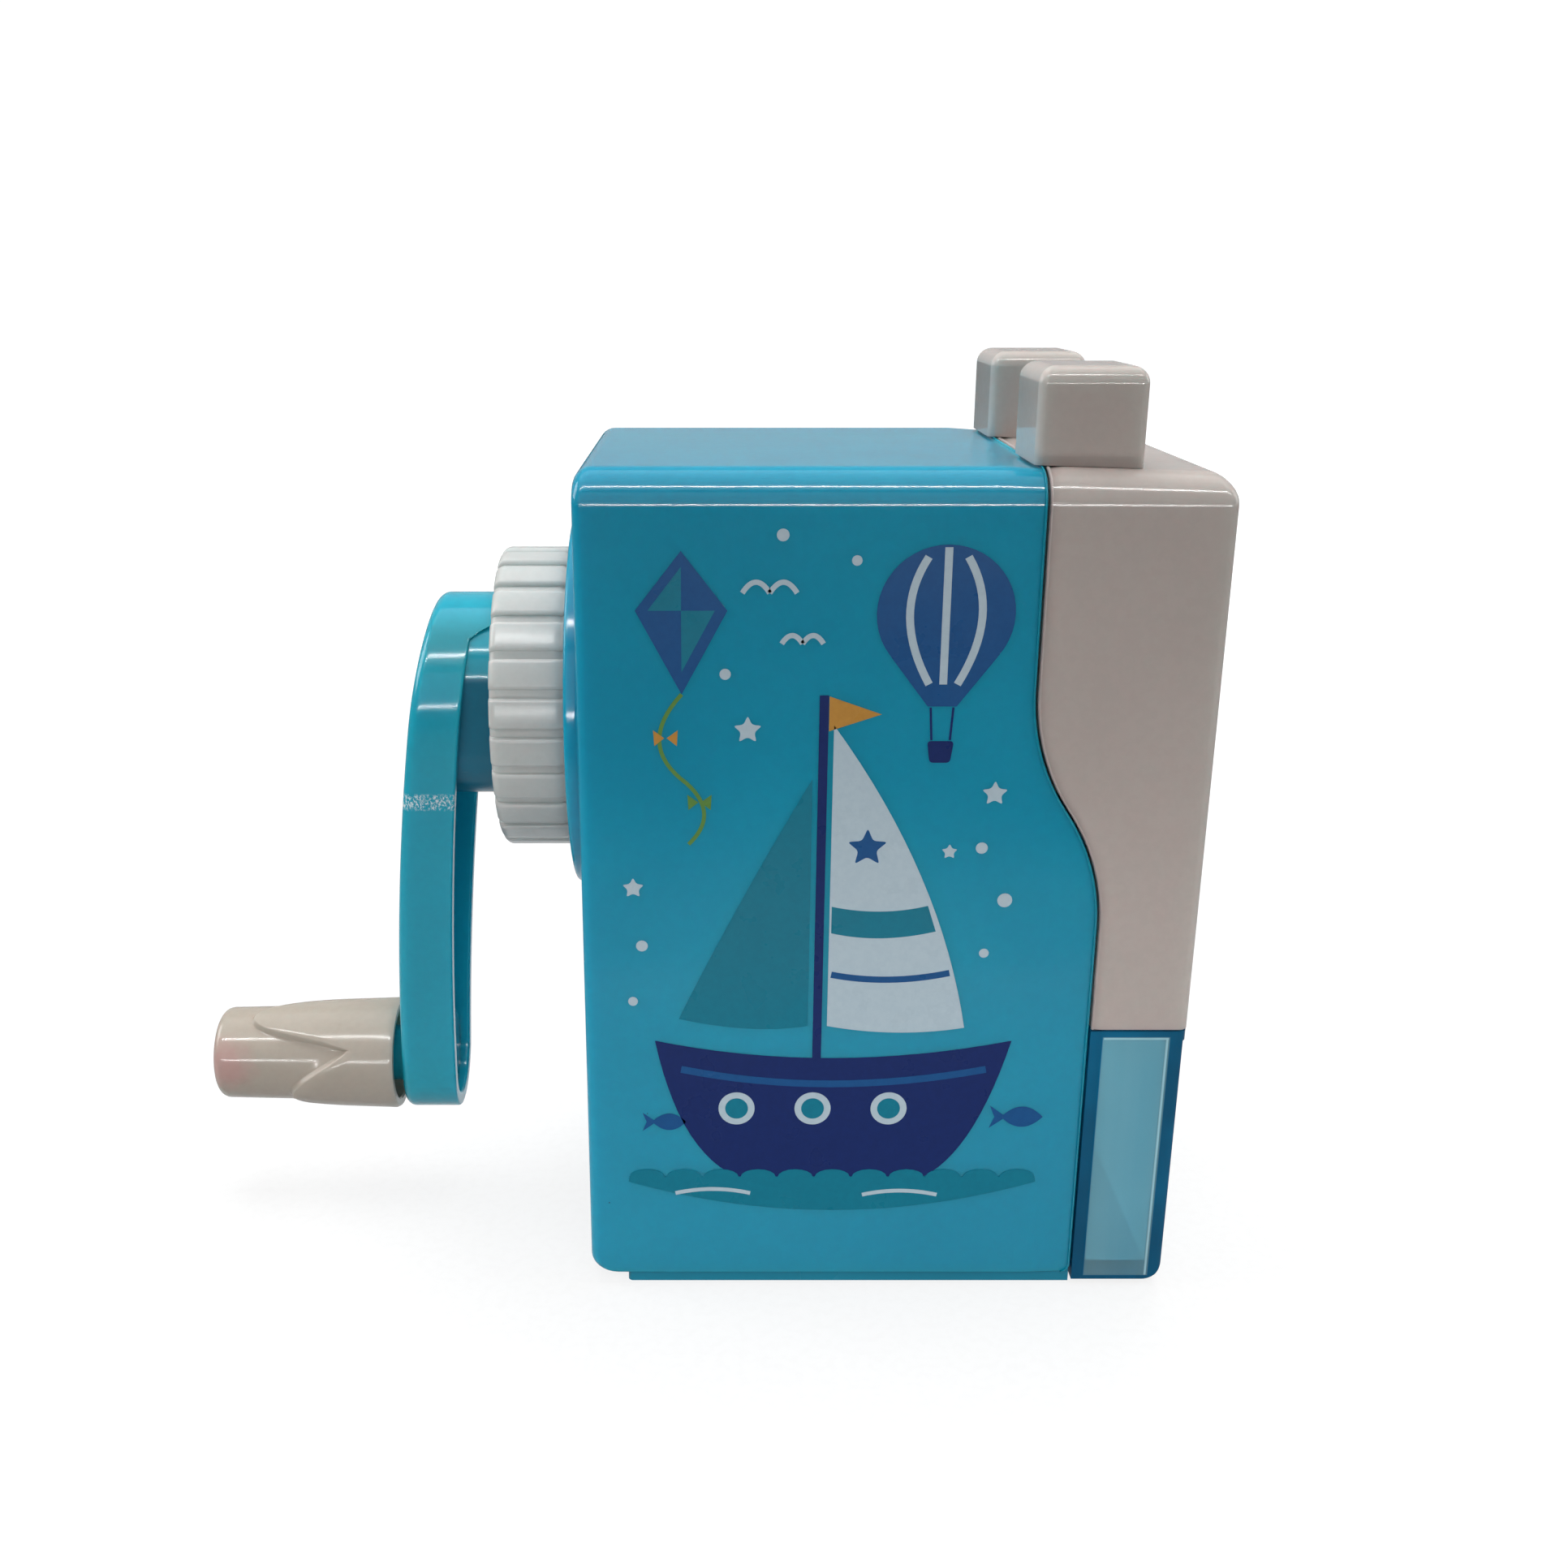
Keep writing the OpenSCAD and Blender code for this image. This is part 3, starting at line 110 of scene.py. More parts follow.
FUNNEL_D = 0.8
FUNNEL_W = 1.6
TOP_SLOPE = 0.03
FOOT_STEPS = 8


# ---- Mesh helpers ----
class Shape:
    """Points in millimetres and faces, gathered ring by ring."""

    def __init__(self):
        self.points = []
        self.faces = []

    def ring(self, points):
        start = len(self.points)
        self.points.extend(points)
        return list(range(start, len(self.points)))

    def cap(self, ring):
        self.faces.append(tuple(ring))

    def strip(self, a, b, closed=True):
        count = len(a) if closed else len(a) - 1
        for i in range(count):
            j = (i + 1) % len(a)
            self.faces.append((a[i], a[j], b[j], b[i]))

    def loft(self, rings):
        for a, b in zip(rings, rings[1:]):
            self.strip(a, b)

    def fill(self, *loops):
        """Triangles between an outer loop and its holes."""
        order = [index for loop in loops for index in loop]
        lines = [[Vector(self.points[index]) for index in loop] for loop in loops]
        for triangle in tessellate_polygon(lines):
            self.faces.append(tuple(order[corner] for corner in triangle))

    def revolve(self, profile, z=0.0, segments=96):
        """Rings around an axis along X at height z, from (x, radius) pairs; gives the rings back."""
        turns = [math.tau * k / segments for k in range(segments)]
        rings = [self.ring([(x, radius * math.cos(t), z + radius * math.sin(t)) for t in turns])
                 for x, radius in profile]
        self.loft(rings)
        return rings

    def build(self, name, sharp=SHARP):
        mesh = bpy.data.meshes.new(name)
        mesh.from_pydata([Vector(p) * MM for p in self.points], [], self.faces)
        edit = bmesh.new()
        edit.from_mesh(mesh)
        bmesh.ops.remove_doubles(edit, verts=edit.verts, dist=1e-8)
        bmesh.ops.dissolve_degenerate(edit, edges=edit.edges, dist=1e-8)
        bmesh.ops.recalc_face_normals(edit, faces=edit.faces)
        edit.to_mesh(mesh)
        edit.free()
        piece = bpy.data.objects.new(name, mesh)
        bpy.context.scene.collection.objects.link(piece)
        smooth_faces(piece, sharp)
        weighted = piece.modifiers.new("even_normals", "WEIGHTED_NORMAL")
        weighted.keep_sharp = True
        weighted.weight = 80
        return piece

    def build_plain(self, name, sharp=SHARP):
        """The piece without the modifier that keeps big faces flat."""
        piece = self.build(name, sharp)
        piece.modifiers.clear()
        return piece


def smooth_faces(piece, sharp=SHARP):
    """Smooth shading that breaks at sharp edges."""
    mesh = piece.data
    mesh.polygons.foreach_set("use_smooth", [True] * len(mesh.polygons))
    mesh.set_sharp_from_angle(angle=math.radians(sharp))


def dress(piece, body, slot, material, *replaced):
    piece.data.materials.clear()
    piece.data.materials.append(material)
    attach(piece, body)
    if replaced:
        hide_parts(*replaced)
    return piece


def cut(piece, cutter):
    """Takes one closed mesh out of another and removes the cutter."""
    tool = piece.modifiers.new("cut", "BOOLEAN")
    tool.operation = "DIFFERENCE"
    tool.solver = "EXACT"
    tool.object = cutter
    while piece.modifiers[0].name != "cut":
        with bpy.context.temp_override(object=piece):
            bpy.ops.object.modifier_move_up(modifier="cut")
    with bpy.context.temp_override(object=piece):
        bpy.ops.object.modifier_apply(modifier="cut")
    bpy.data.objects.remove(cutter)


def box_cutter(low, high):
    """A block to cut with, between two opposite corners."""
    shape = Shape()
    corners = ((low[0], low[1]), (high[0], low[1]), (high[0], high[1]), (low[0], high[1]))
    base, lid = (shape.ring([(x, y, z) for x, y in corners]) for z in (low[2], high[2]))
    shape.strip(base, lid)
    shape.cap(base)
    shape.cap(lid)
    return shape.build_plain("box_cutter")


def joined(parts, name):
    """One piece from several closed meshes."""
    first = parts[0]
    edit = bmesh.new()
    for part in parts:
        edit.from_mesh(part.data)
    edit.to_mesh(first.data)
    edit.free()
    for part in parts[1:]:
        bpy.data.objects.remove(part)
    first.name = name
    smooth_faces(first)
    return first


def arc(radius, steps, start=0.0, end=90.0):
    """Pairs (1 - cos, 1 - sin) times the radius, for rounding a corner."""
    for k in range(steps + 1):
        a = math.radians(start + (end - start) * k / steps)
        yield radius * (1 - math.cos(a)), radius * (1 - math.sin(a))


def arc_back(radius, steps):
    """The same pairs from the end to the start."""
    return reversed(list(arc(radius, steps)))


def hollow_arc(radius, steps):
    """(rise, back) of a concave quarter round between a wall and a boss."""
    for k in range(steps + 1):
        a = math.radians(90 * k / steps)
        yield radius * math.cos(a), radius * (1 - math.sin(a))


def between(start, end, steps):
    """The evenly spaced values inside a range, without its two ends."""
    return [start + (end - start) * k / steps for k in range(1, steps)]


def clamped(value, low=0.0, high=1.0):
    return min(max(value, low), high)


# ---- Materials ----
def linear(*rgb):
    """An 8-bit screen colour as the linear colour that Blender's sockets take."""
    def one(c):
        c = c / 255
        return c / 12.92 if c <= 0.04045 else ((c + 0.055) / 1.055) ** 2.4
    return tuple(one(c) for c in rgb) + (1.0,)


def darker(colour, share):
    return tuple(c * share for c in colour[:3]) + (1.0,)


class Nodes:
    """A short way to write a node tree."""

    def __init__(self, name):
        self.material = bpy.data.materials.new(name)
        self.material.use_nodes = True
        self.tree = self.material.node_tree
        self.shader = self.tree.nodes["Principled BSDF"]
        self.coords = self.add("ShaderNodeTexCoord").outputs["Object"]

    def put(self, socket, value):
        """Links a value into a socket, or sets it there as a constant."""
        if isinstance(value, bpy.types.NodeSocket):
            self.tree.links.new(value, socket)
        else:
            socket.default_value = value

    def set(self, name, value):
        """One socket of the surface shader."""
        self.put(self.shader.inputs[name], value)

    def add(self, kind, inputs=None, **settings):
        node = self.tree.nodes.new(kind)
        for key, value in settings.items():
            setattr(node, key, value)
        for key, value in (inputs or {}).items():
            self.put(node.inputs[key], value)
        return node

    def noise(self, scale, detail=3.0, roughness=0.55, vector=None, distortion=0.0):
        node = self.add("ShaderNodeTexNoise", {
            "Vector": vector or self.coords, "Scale": scale, "Detail": detail,
            "Roughness": roughness, "Distortion": distortion})
        return node.outputs["Fac"]

    def mapped(self, scale, turn=0.0):
        """The coordinates turned about Y by an angle in degrees, and stretched."""
        rotation = (0.0, math.radians(turn), 0.0)
        node = self.add("ShaderNodeMapping", {"Vector": self.coords, "Rotation": rotation, "Scale": scale})
        return node.outputs["Vector"]

    def remap(self, value, low, high, to_low=0.0, to_high=1.0):
        node = self.add("ShaderNodeMapRange", {
            "Value": value, "From Min": low, "From Max": high, "To Min": to_low, "To Max": to_high})
        node.interpolation_type = "SMOOTHSTEP"
        return node.outputs["Result"]

    def math(self, operation, a, b=0.0):
        return self.add("ShaderNodeMath", {0: a, 1: b}, operation=operation).outputs[0]

    def times(self, a, b):
        return self.math("MULTIPLY", a, b)

    def minus(self, a, b):
        return self.math("SUBTRACT", a, b)

    def highest(self, a, b):
        return self.math("MAXIMUM", a, b)

    def mix(self, share, a, b):
        node = self.add("ShaderNodeMix", {"Factor": share}, data_type="RGBA", blend_type="MIX")
        self.put(node.inputs[6], a)
        self.put(node.inputs[7], b)
        return node.outputs[2]

    def lay_over(self, share, colour):
        """Mixes a colour over the base colour that is already linked."""
        below = self.shader.inputs["Base Color"].links[0].from_socket
        self.set("Base Color", self.mix(share, below, colour))

    def bump(self, height, distance, strength, normal=None):
        node = self.add("ShaderNodeBump", {"Height": height, "Distance": distance, "Strength": strength})
        if normal is not None:
            self.put(node.inputs["Normal"], normal)
        return node.outputs["Normal"]


def specks(nodes, scale, size, share):
    """Small sparse dots: 1 inside a dot, 0 elsewhere."""
    cells = nodes.add("ShaderNodeTexVoronoi", {
        "Vector": nodes.coords, "Scale": scale, "Randomness": 1.0}, feature="F1")
    near = nodes.remap(cells.outputs["Distance"], size, size * 0.55)
    chosen = nodes.add("ShaderNodeSeparateColor", {"Color": cells.outputs["Color"]}).outputs["Red"]
    return nodes.times(near, nodes.math("LESS_THAN", chosen, share))


def hairlines(nodes, angle, density):
    """Short fine scratches that run in one direction."""
    turned = nodes.mapped((12.0, 12.0, 420.0), angle)
    return nodes.remap(nodes.noise(16.0, 1.0, 0.4, turned), 0.80 - density, 0.86 - density)


PLASTIC_IOR = 1.49
PLASTIC_GLOSS = 0.35
SOFT_RADIUS = (0.6, 1.0, 1.0)
SOFT_SCALE = 0.004


def moulded(name, colour, tone, roughness=0.11, soft=0.0, speck=None, speck_share=0.2, crinkle=0.000005,
            dirt=None, dirt_share=0.3):
    """Injection-moulded plastic: colour drift, faint waves, a fine crinkled skin, hairlines and specks."""
    nodes = Nodes(name)
    drift = nodes.remap(nodes.noise(30.0, 2.0), 0.3, 0.72)
    base = nodes.mix(drift, colour, tone)
    grain = nodes.remap(nodes.noise(1100.0, 2.0), 0.35, 0.65)
    base = nodes.mix(nodes.times(grain, 0.1), base, darker(colour, 0.7))
    marks = nodes.highest(hairlines(nodes, 24.0, 0.0), hairlines(nodes, -57.0, 0.01))
    if dirt is not None:
        smudge = nodes.remap(nodes.noise(140.0, 5.0, 0.65), 0.56, 0.8)
        base = nodes.mix(nodes.times(smudge, dirt_share), base, dirt)
    if speck is not None:
        dots = nodes.highest(specks(nodes, 100.0, 0.017, speck_share), specks(nodes, 240.0, 0.03, 0.04))
        base = nodes.mix(nodes.times(dots, 0.8), base, speck)
    nodes.set("Base Color", base)
    rough = nodes.remap(nodes.noise(45.0, 3.0), 0.3, 0.75, roughness * 0.85, roughness * 1.2)
    nodes.set("Roughness", nodes.math("ADD", rough, nodes.times(marks, 0.12)))
    waves = nodes.bump(nodes.noise(120.0, 1.0), 0.00003, 0.5)
    skin = nodes.bump(nodes.noise(2300.0, 2.0), crinkle, 0.7, waves)
    nodes.set("Normal", nodes.bump(marks, 0.000004, 0.4, skin))
    nodes.set("IOR", PLASTIC_IOR)
    nodes.set("Specular IOR Level", PLASTIC_GLOSS)
    if soft > 0:
        nodes.set("Subsurface Weight", soft)
        nodes.set("Subsurface Radius", SOFT_RADIUS)
        nodes.set("Subsurface Scale", SOFT_SCALE)
    return nodes


def metal(name, colour, roughness, scale=240.0, stretch=(1.0, 8.0, 8.0)):
    """Turned or drawn metal: fine directional marks and uneven polish."""
    nodes = Nodes(name)
    drift = nodes.remap(nodes.noise(90.0, 3.0), 0.3, 0.7)
    nodes.set("Base Color", nodes.mix(drift, colour, darker(colour, 0.8)))
    turned = nodes.noise(scale, 3.0, 0.6, nodes.mapped(stretch))
    nodes.set("Roughness", nodes.remap(turned, 0.3, 0.7, roughness * 0.85, roughness * 1.15))
    nodes.set("Normal", nodes.bump(turned, 0.000003, 0.3))
    nodes.set("Metallic", 1.0)
    return nodes.material


DARK_SPECK = linear(10, 46, 70)
BROWN_SPECK = linear(84, 72, 64)
# height of the painted highlight band on the arm's near wall
PAINTED_GLINT_Z = 51.6
STAIN_PLACE = (GRIP_LOW.x + 1.5, -5.5, Z_GRIP + 1.0)


def blue_plastic():
    return moulded("blue_plastic", linear(16, 156, 188), linear(12, 148, 181),
                   speck=DARK_SPECK, soft=0.6).material


def plinth_plastic():
    return moulded("plinth_plastic", linear(14, 138, 166), linear(10, 126, 154), roughness=0.3).material


def arm_plastic():
    """The arm's blue, with a painted highlight: a whitened, crinkled band across its near wall below the hub.
    """
    nodes = moulded("arm_plastic", linear(30, 168, 192), linear(24, 160, 184), roughness=0.12,
                    speck=DARK_SPECK, speck_share=0.1, soft=0.7)
    # painted highlight: a whitened crinkled band on the near wall below the hub stands in for a glint of
    # light there
    place = nodes.add("ShaderNodeSeparateXYZ", {"Vector": nodes.coords}).outputs
    band = nodes.remap(nodes.math("ABSOLUTE", nodes.minus(place["Z"], PAINTED_GLINT_Z * MM)), 0.0011, 0.0006)
    reach = nodes.remap(nodes.noise(260.0, 2.0), 0.36, 0.52)
    crinkle = nodes.noise(4200.0, 3.0, 0.75, nodes.mapped((1.0, 1.0, 0.6)), 0.4)
    near = nodes.remap(place["Y"], -8.4 * MM, -9.2 * MM)
    painted_glint = nodes.times(nodes.times(band, reach), nodes.remap(crinkle, 0.48, 0.6))
    painted_glint = nodes.times(painted_glint, near)
    nodes.lay_over(nodes.times(painted_glint, 0.85), linear(236, 244, 246))
    return nodes.material


def white_plastic(name, roughness):
    return moulded(name, linear(195, 184, 178), linear(189, 179, 173), roughness=roughness,
                   speck=BROWN_SPECK, speck_share=0.22, soft=0.6).material


def collar_plastic():
    return moulded("collar_plastic", linear(202, 202, 199), linear(194, 194, 191), roughness=0.2,
                   speck=BROWN_SPECK, speck_share=0.5, soft=0.35, dirt=linear(132, 124, 112),
                   dirt_share=0.22).material


def grip_plastic():
    """Handled white plastic with a faint pink stain near the outer end."""
    nodes = moulded("grip_plastic", linear(184, 173, 161), linear(174, 163, 150), roughness=0.16,
                    speck=BROWN_SPECK, speck_share=0.6, soft=0.35, dirt=linear(146, 130, 112))
    away = nodes.add("ShaderNodeVectorMath", {0: nodes.coords, 1: Vector(STAIN_PLACE) * MM},
                     operation="DISTANCE").outputs["Value"]
    wobble = nodes.times(nodes.noise(420.0, 3.0), 0.003)
    stain = nodes.remap(nodes.math("ADD", away, wobble), 0.0062, 0.0022)
    nodes.lay_over(nodes.times(stain, 0.32), linear(214, 132, 140))
    return nodes.material


def printed(name, colour, tone):
    """A thin layer of printing ink: flat colour with a faint screen grain and small pinholes."""
    nodes = Nodes(name)
    grain = nodes.remap(nodes.noise(1600.0, 3.0, 0.6), 0.3, 0.7)
    base = nodes.mix(nodes.times(grain, 0.5), colour, tone)
    pins = specks(nodes, 420.0, 0.05, 0.03)
    nodes.set("Base Color", nodes.mix(nodes.times(pins, 0.5), base, linear(60, 150, 176)))
    nodes.set("Roughness", nodes.remap(nodes.noise(300.0, 3.0), 0.3, 0.7, 0.27, 0.31))
    nodes.set("Normal", nodes.bump(grain, 0.000001, 0.4))
    nodes.set("Specular IOR Level", 0.18)
    return nodes.material


RIM_BAND = 0.7
COLUMN_IN = 1.35
COLUMN_OUT = 1.55
CLEAR_IOR = 1.2
CLEAR_TINT = linear(140, 194, 208)
CLEAR_CLOUD = linear(132, 188, 203)
CLEAR_STREAK = linear(168, 210, 218)
CLEAR_DEEP = linear(6, 104, 146)
CLEAR_DEEPEST = linear(10, 84, 120)
CLEAR_PAINTED_GLINT = linear(190, 226, 234)


def clear_blue():
    """Tinted clear plastic: pale through the flat walls, deep where a wall is seen along its length, with
    painted highlights in thin pale lines near the front edge and under the rim.
    """
    nodes = Nodes("clear_blue")
    at = nodes.add("ShaderNodeSeparateXYZ", {"Vector": nodes.coords}).outputs
    low, high = DRAWER_LOW * MM, DRAWER_HIGH * MM

    def fade(distance, start, end):
        """0 at one distance in millimetres and 1 at the other."""
        return nodes.remap(distance, start * MM, end * MM)

    from_left = nodes.minus(at["X"], (X_PART_LOW + LINE_GAP) * MM)
    from_front = nodes.minus(high.x - 0.35 * MM, at["X"])
    from_side = nodes.minus(high.y, nodes.math("ABSOLUTE", at["Y"]))
    from_foot = nodes.minus(at["Z"], low.z)
    from_top = nodes.minus(high.z, at["Z"])
    edge = nodes.math("MINIMUM", nodes.minus(from_left, -0.1 * MM), from_front)
    column = nodes.times(fade(edge, COLUMN_OUT, COLUMN_IN), fade(from_side, 1.5, 1.3))
    rim = fade(from_top, RIM_BAND + 0.07, RIM_BAND - 0.07)
    foot = fade(from_foot, 0.62, 0.42)
    deep = nodes.highest(nodes.highest(column, rim), foot)
    deep = nodes.times(deep, nodes.math("GREATER_THAN", from_left, -0.2 * MM))
    outside = nodes.math("LESS_THAN", from_side, 0.05 * MM)
    # painted highlights: thin pale lines near the front edge and under the rim stand in for glints of light
    # in the clear walls
    painted_glints = nodes.times(fade(from_front, 1.86, 1.74), fade(from_front, 1.52, 1.62))
    under_rim = nodes.times(fade(from_top, RIM_BAND + 0.3, RIM_BAND + 0.2), fade(edge, 1.45, 1.6))
    painted_glints = nodes.times(nodes.highest(painted_glints, under_rim), outside)
    for covered in (rim, foot):
        painted_glints = nodes.times(painted_glints, nodes.minus(1.0, covered))
    cloud = nodes.remap(nodes.noise(60.0, 3.0), 0.3, 0.7)
    streaks = nodes.remap(nodes.noise(1.0, 3.0, 0.5, nodes.mapped((160.0, 1.0, 9.0), -28.0)), 0.4, 0.7)
    tint = nodes.mix(cloud, CLEAR_TINT, CLEAR_CLOUD)
    tint = nodes.mix(nodes.times(streaks, 0.35), tint, CLEAR_STREAK)
    tint = nodes.mix(deep, tint, nodes.mix(cloud, CLEAR_DEEP, CLEAR_DEEPEST))
    nodes.set("Base Color", nodes.mix(nodes.times(painted_glints, 0.6), tint, CLEAR_PAINTED_GLINT))
    nodes.set("Transmission Weight", nodes.remap(nodes.highest(deep, painted_glints), 0.0, 1.0, 0.62, 0.2))
    nodes.set("IOR", CLEAR_IOR)
    nodes.set("Roughness", nodes.remap(streaks, 0.0, 1.0, 0.03, 0.1))
    nodes.set("Normal", nodes.bump(streaks, 0.00001, 0.4))
    return nodes.material


EVEN = (1.0, 1.0, 1.0)
MATERIALS = {
    "blue": blue_plastic(),
    "arm": arm_plastic(),
    "white": white_plastic("white_plastic", 0.13),
    "tab": white_plastic("tab_plastic", 0.07),
    "collar": collar_plastic(),
    # painted shade: the darker blue for the arm's boss and the channel's inside near it
    "arm_painted_shade": moulded("arm_painted_shade", linear(6, 112, 140), linear(4, 104, 132), 0.2, soft=0.3).material,
    "grip": grip_plastic(),
    "plinth": plinth_plastic(),
    "clear": clear_blue(),
    "steel": metal("steel", linear(186, 188, 190), 0.28),
    "tool_steel": metal("tool_steel", linear(128, 130, 134), 0.3),
    "cast": metal("cast_metal", linear(150, 150, 150), 0.46, 500.0, EVEN),
    "spring": metal("spring_steel", linear(170, 172, 176), 0.2, 900.0, EVEN),
    "rubber": moulded("pad_rubber", linear(58, 58, 60), linear(50, 50, 52), 0.75, crinkle=0.00001).material,
}
INKS = {
    "navy": ((12, 38, 100), (9, 33, 90)),
    "royal": ((20, 82, 140), (16, 74, 130)),
    "teal": ((8, 122, 146), (6, 112, 136)),
    "pale": ((186, 204, 214), (176, 196, 208)),
    "green": ((98, 142, 66), (88, 132, 58)),
    "amber": ((196, 142, 62), (184, 130, 54)),
}
for ink_name, (ink_colour, ink_tone) in INKS.items():
    MATERIALS[ink_name] = printed("ink_" + ink_name, linear(*ink_colour), linear(*ink_tone))


# ---- The two shells ----
LEVEL_STEP = 1.0
CORNER_STEPS = 14


def mixed(a, b, share):
    return a + (b - a) * share


def smooth_step(share):
    return share * share * (3 - 2 * share)


def wave_edge(z):
    """X of the wavy parting line at a height."""
    depth = (X_PART_LOW - X_PART) / 2
    half = math.sqrt(2 * WAVE_R * depth - depth * depth)
    if z <= WAVE_H - half:
        return X_PART_LOW
    if z >= WAVE_H + half:
        return X_PART
    if z <= WAVE_H:
        rise = z - (WAVE_H - half)
        return X_PART_LOW - WAVE_R + math.sqrt(WAVE_R ** 2 - rise ** 2)
    rise = WAVE_H + half - z
    return X_PART + WAVE_R - math.sqrt(WAVE_R ** 2 - rise ** 2)


def foot_cut(z, radius):
    """How far a rounded lower corner of the body has moved in at a height."""
    rise = z - BODY_FOOT
    if rise >= radius:
        return 0.0
    return radius - math.sqrt(max(0.0, radius ** 2 - (radius - rise) ** 2))


def side_levels(floor, foot):
    """Heights along a side wall, close together where its outline bends."""
    levels = [floor + rise for rise, _ in arc(FOOT_R, FOOT_STEPS)] if foot else [floor, floor + LEVEL_STEP]
    z = levels[-1]
    top = TOP - LONG_EDGE_R
    while z < top - 0.6 * LEVEL_STEP:
        z = min(z + LEVEL_STEP, top)
        levels.append(z)
    levels[-1] = top
    return levels


def shell_path(levels):
    """(y, z, normal y, normal z) from the near wall's foot over the top to the far wall's foot."""
    near = [(-HALF_W, z, -1.0, 0.0) for z in levels]
    centre_y, centre_z = HALF_W - LONG_EDGE_R, TOP - LONG_EDGE_R
    for k in range(1, CORNER_STEPS + 1):
        a = math.radians(90 * k / CORNER_STEPS)
        out, up = math.cos(a), math.sin(a)
        near.append((-centre_y - LONG_EDGE_R * out, centre_z + LONG_EDGE_R * up, -out, up))
    middle = [(y, TOP, 0.0, 1.0) for y in between(-centre_y, centre_y, 16)]
    far = [(-y, z, -ny, nz) for y, z, ny, nz in reversed(near)]
    return near + middle + far


def end_radius(normal_y, normal_z, side, top):
    """The rounding of a shell's end, which changes from the side walls to the top."""
    return side * normal_y ** 2 + top * normal_z ** 2


def lip(x, inset_to, direction):
    """(x, inset) of a rounded lip at x that faces along direction, from the outside to the inside."""
    for back, inset in arc(LIP_R, 4, 90.0, 0.0):
        yield x - direction * inset, back
    for back, inset in arc(LIP_R, 4):
        yield x - direction * back, inset_to - inset


def body_profile(z, ny, nz):
    """(x, inset) around one section of the body shell, from the rear to the front and back inside."""
    start = X_REAR + foot_cut(z, FOOT_R)
    end = wave_edge(z) - foot_cut(z, FRONT_FOOT_R)
    points = [(start + back, inset) for back, inset in arc(end_radius(ny, nz, UPRIGHT_R, END_EDGE_R), 7)]
    points += [(x, 0.0) for x in between(points[-1][0], end - LIP_R, 12)]
    points += lip(end, WALL, 1.0)
    points += [(x, WALL) for x in between(points[-1][0], X_REAR_INSIDE, 8)]
    return points + [(X_REAR_INSIDE, WALL)]


def cover_profile(z, ny, nz):
    """(x, inset) around one section of the front cover, from the inside to the wave and to the front."""
    radius = end_radius(ny, nz, UPRIGHT_R, FRONT_EDGE_R)
    start = wave_edge(z) + LINE_GAP
    inner = X_FRONT - WALL
    points = [(inner, WALL)] + [(x, WALL) for x in between(inner, start + LIP_R, 8)]
    points += reversed(list(lip(start, WALL, -1.0)))
    points += [(x, 0.0) for x in between(points[-1][0], X_FRONT - radius, 10)]
    return points + [(X_FRONT - back, inset) for back, inset in arc_back(radius, 8)]


def shell(shape, path, profile, place):
    """Rows of one shell, closed along its feet; gives back the rows of point numbers."""
    rows = [shape.ring([place(x, y - ny * inset, z - nz * inset, nz) for x, inset in profile(z, ny, nz)])
            for y, z, ny, nz in path]
    for a, b in zip(rows, rows[1:]):
        shape.strip(a, b, closed=False)
    shape.cap(rows[0])
    shape.cap(rows[-1])
    shape.cap((rows[0][0], rows[-1][0], rows[-1][-1], rows[0][-1]))
    return rows


def main_body():
    shape = Shape()
    path = shell_path(side_levels(BODY_FOOT, True))
    rows = shell(shape, path, body_profile, lambda x, y, z, nz: (x, y, z))
    # rounded foot of the rear wall, then the flat wall around the boss
    for i in range(FOOT_STEPS):
        shape.cap((rows[i][0], rows[i + 1][0], rows[-2 - i][0], rows[-1 - i][0]))
    x_boss = X_REAR - BOSS_T
    profile = [(X_REAR - BOSS_FOOT_R + rise, BOSS_R + back) for rise, back in hollow_arc(BOSS_FOOT_R, 4)]
    profile += [(x_boss + back, BOSS_R - inset) for back, inset in arc_back(BOSS_EDGE_R, 5)]
    profile += [(x_boss, SPIGOT_R + SPIGOT_EDGE), (x_boss + SPIGOT_EDGE, SPIGOT_R), (X_REAR_INSIDE, SPIGOT_R)]
    rings = shape.revolve(profile, AXIS_H, 128)
    shape.fill([row[0] for row in rows[FOOT_STEPS:len(rows) - FOOT_STEPS]], rings[0])
    shape.fill([row[-1] for row in rows], rings[-1])
    dress(shape.build("body_shell"), "housing", "blue_shell", MATERIALS["blue"], "main_body")


SLOT_X = (16.3, 22.2)
SLOT_Y = (8.0, 15.4)
SLOT_Z = (TOP - WALL - 1.5, TOP + 1.0)


def front_cover():
    """The cover with its pencil hole, and slots in its sloping top for the stems of the squeeze tabs."""
    shape = Shape()

    def place(x, y, z, nz):
        return x, y, z - TOP_SLOPE * max(0.0, x - X_PART) * max(0.0, nz)

    rows = shell(shape, shell_path(side_levels(COVER_LOW.z, False)), cover_profile, place)
    wide = PENCIL_R + FUNNEL_W
    profile = [(X_FRONT, wide + 0.25), (X_FRONT - 0.06, wide + 0.05), (X_FRONT - 0.2, wide - 0.25),
               (X_FRONT - FUNNEL_D + 0.1, PENCIL_R + 0.2), (X_FRONT - FUNNEL_D - 0.1, PENCIL_R),
               (X_FRONT - WALL, PENCIL_R)]
    rings = shape.revolve(profile, AXIS_H)
    shape.fill([row[-1] for row in rows], rings[0])
    shape.fill([row[0] for row in rows], rings[-1])
    cover = shape.build("cover_shell")
    for side in (-1, 1):
        low, high = ((SLOT_X[end], side * SLOT_Y[end], SLOT_Z[end]) for end in (0, 1))
        cut(cover, box_cutter(low, high))
    smooth_faces(cover)
    dress(cover, "carriage", "white_shell", MATERIALS["white"], "front_cover")


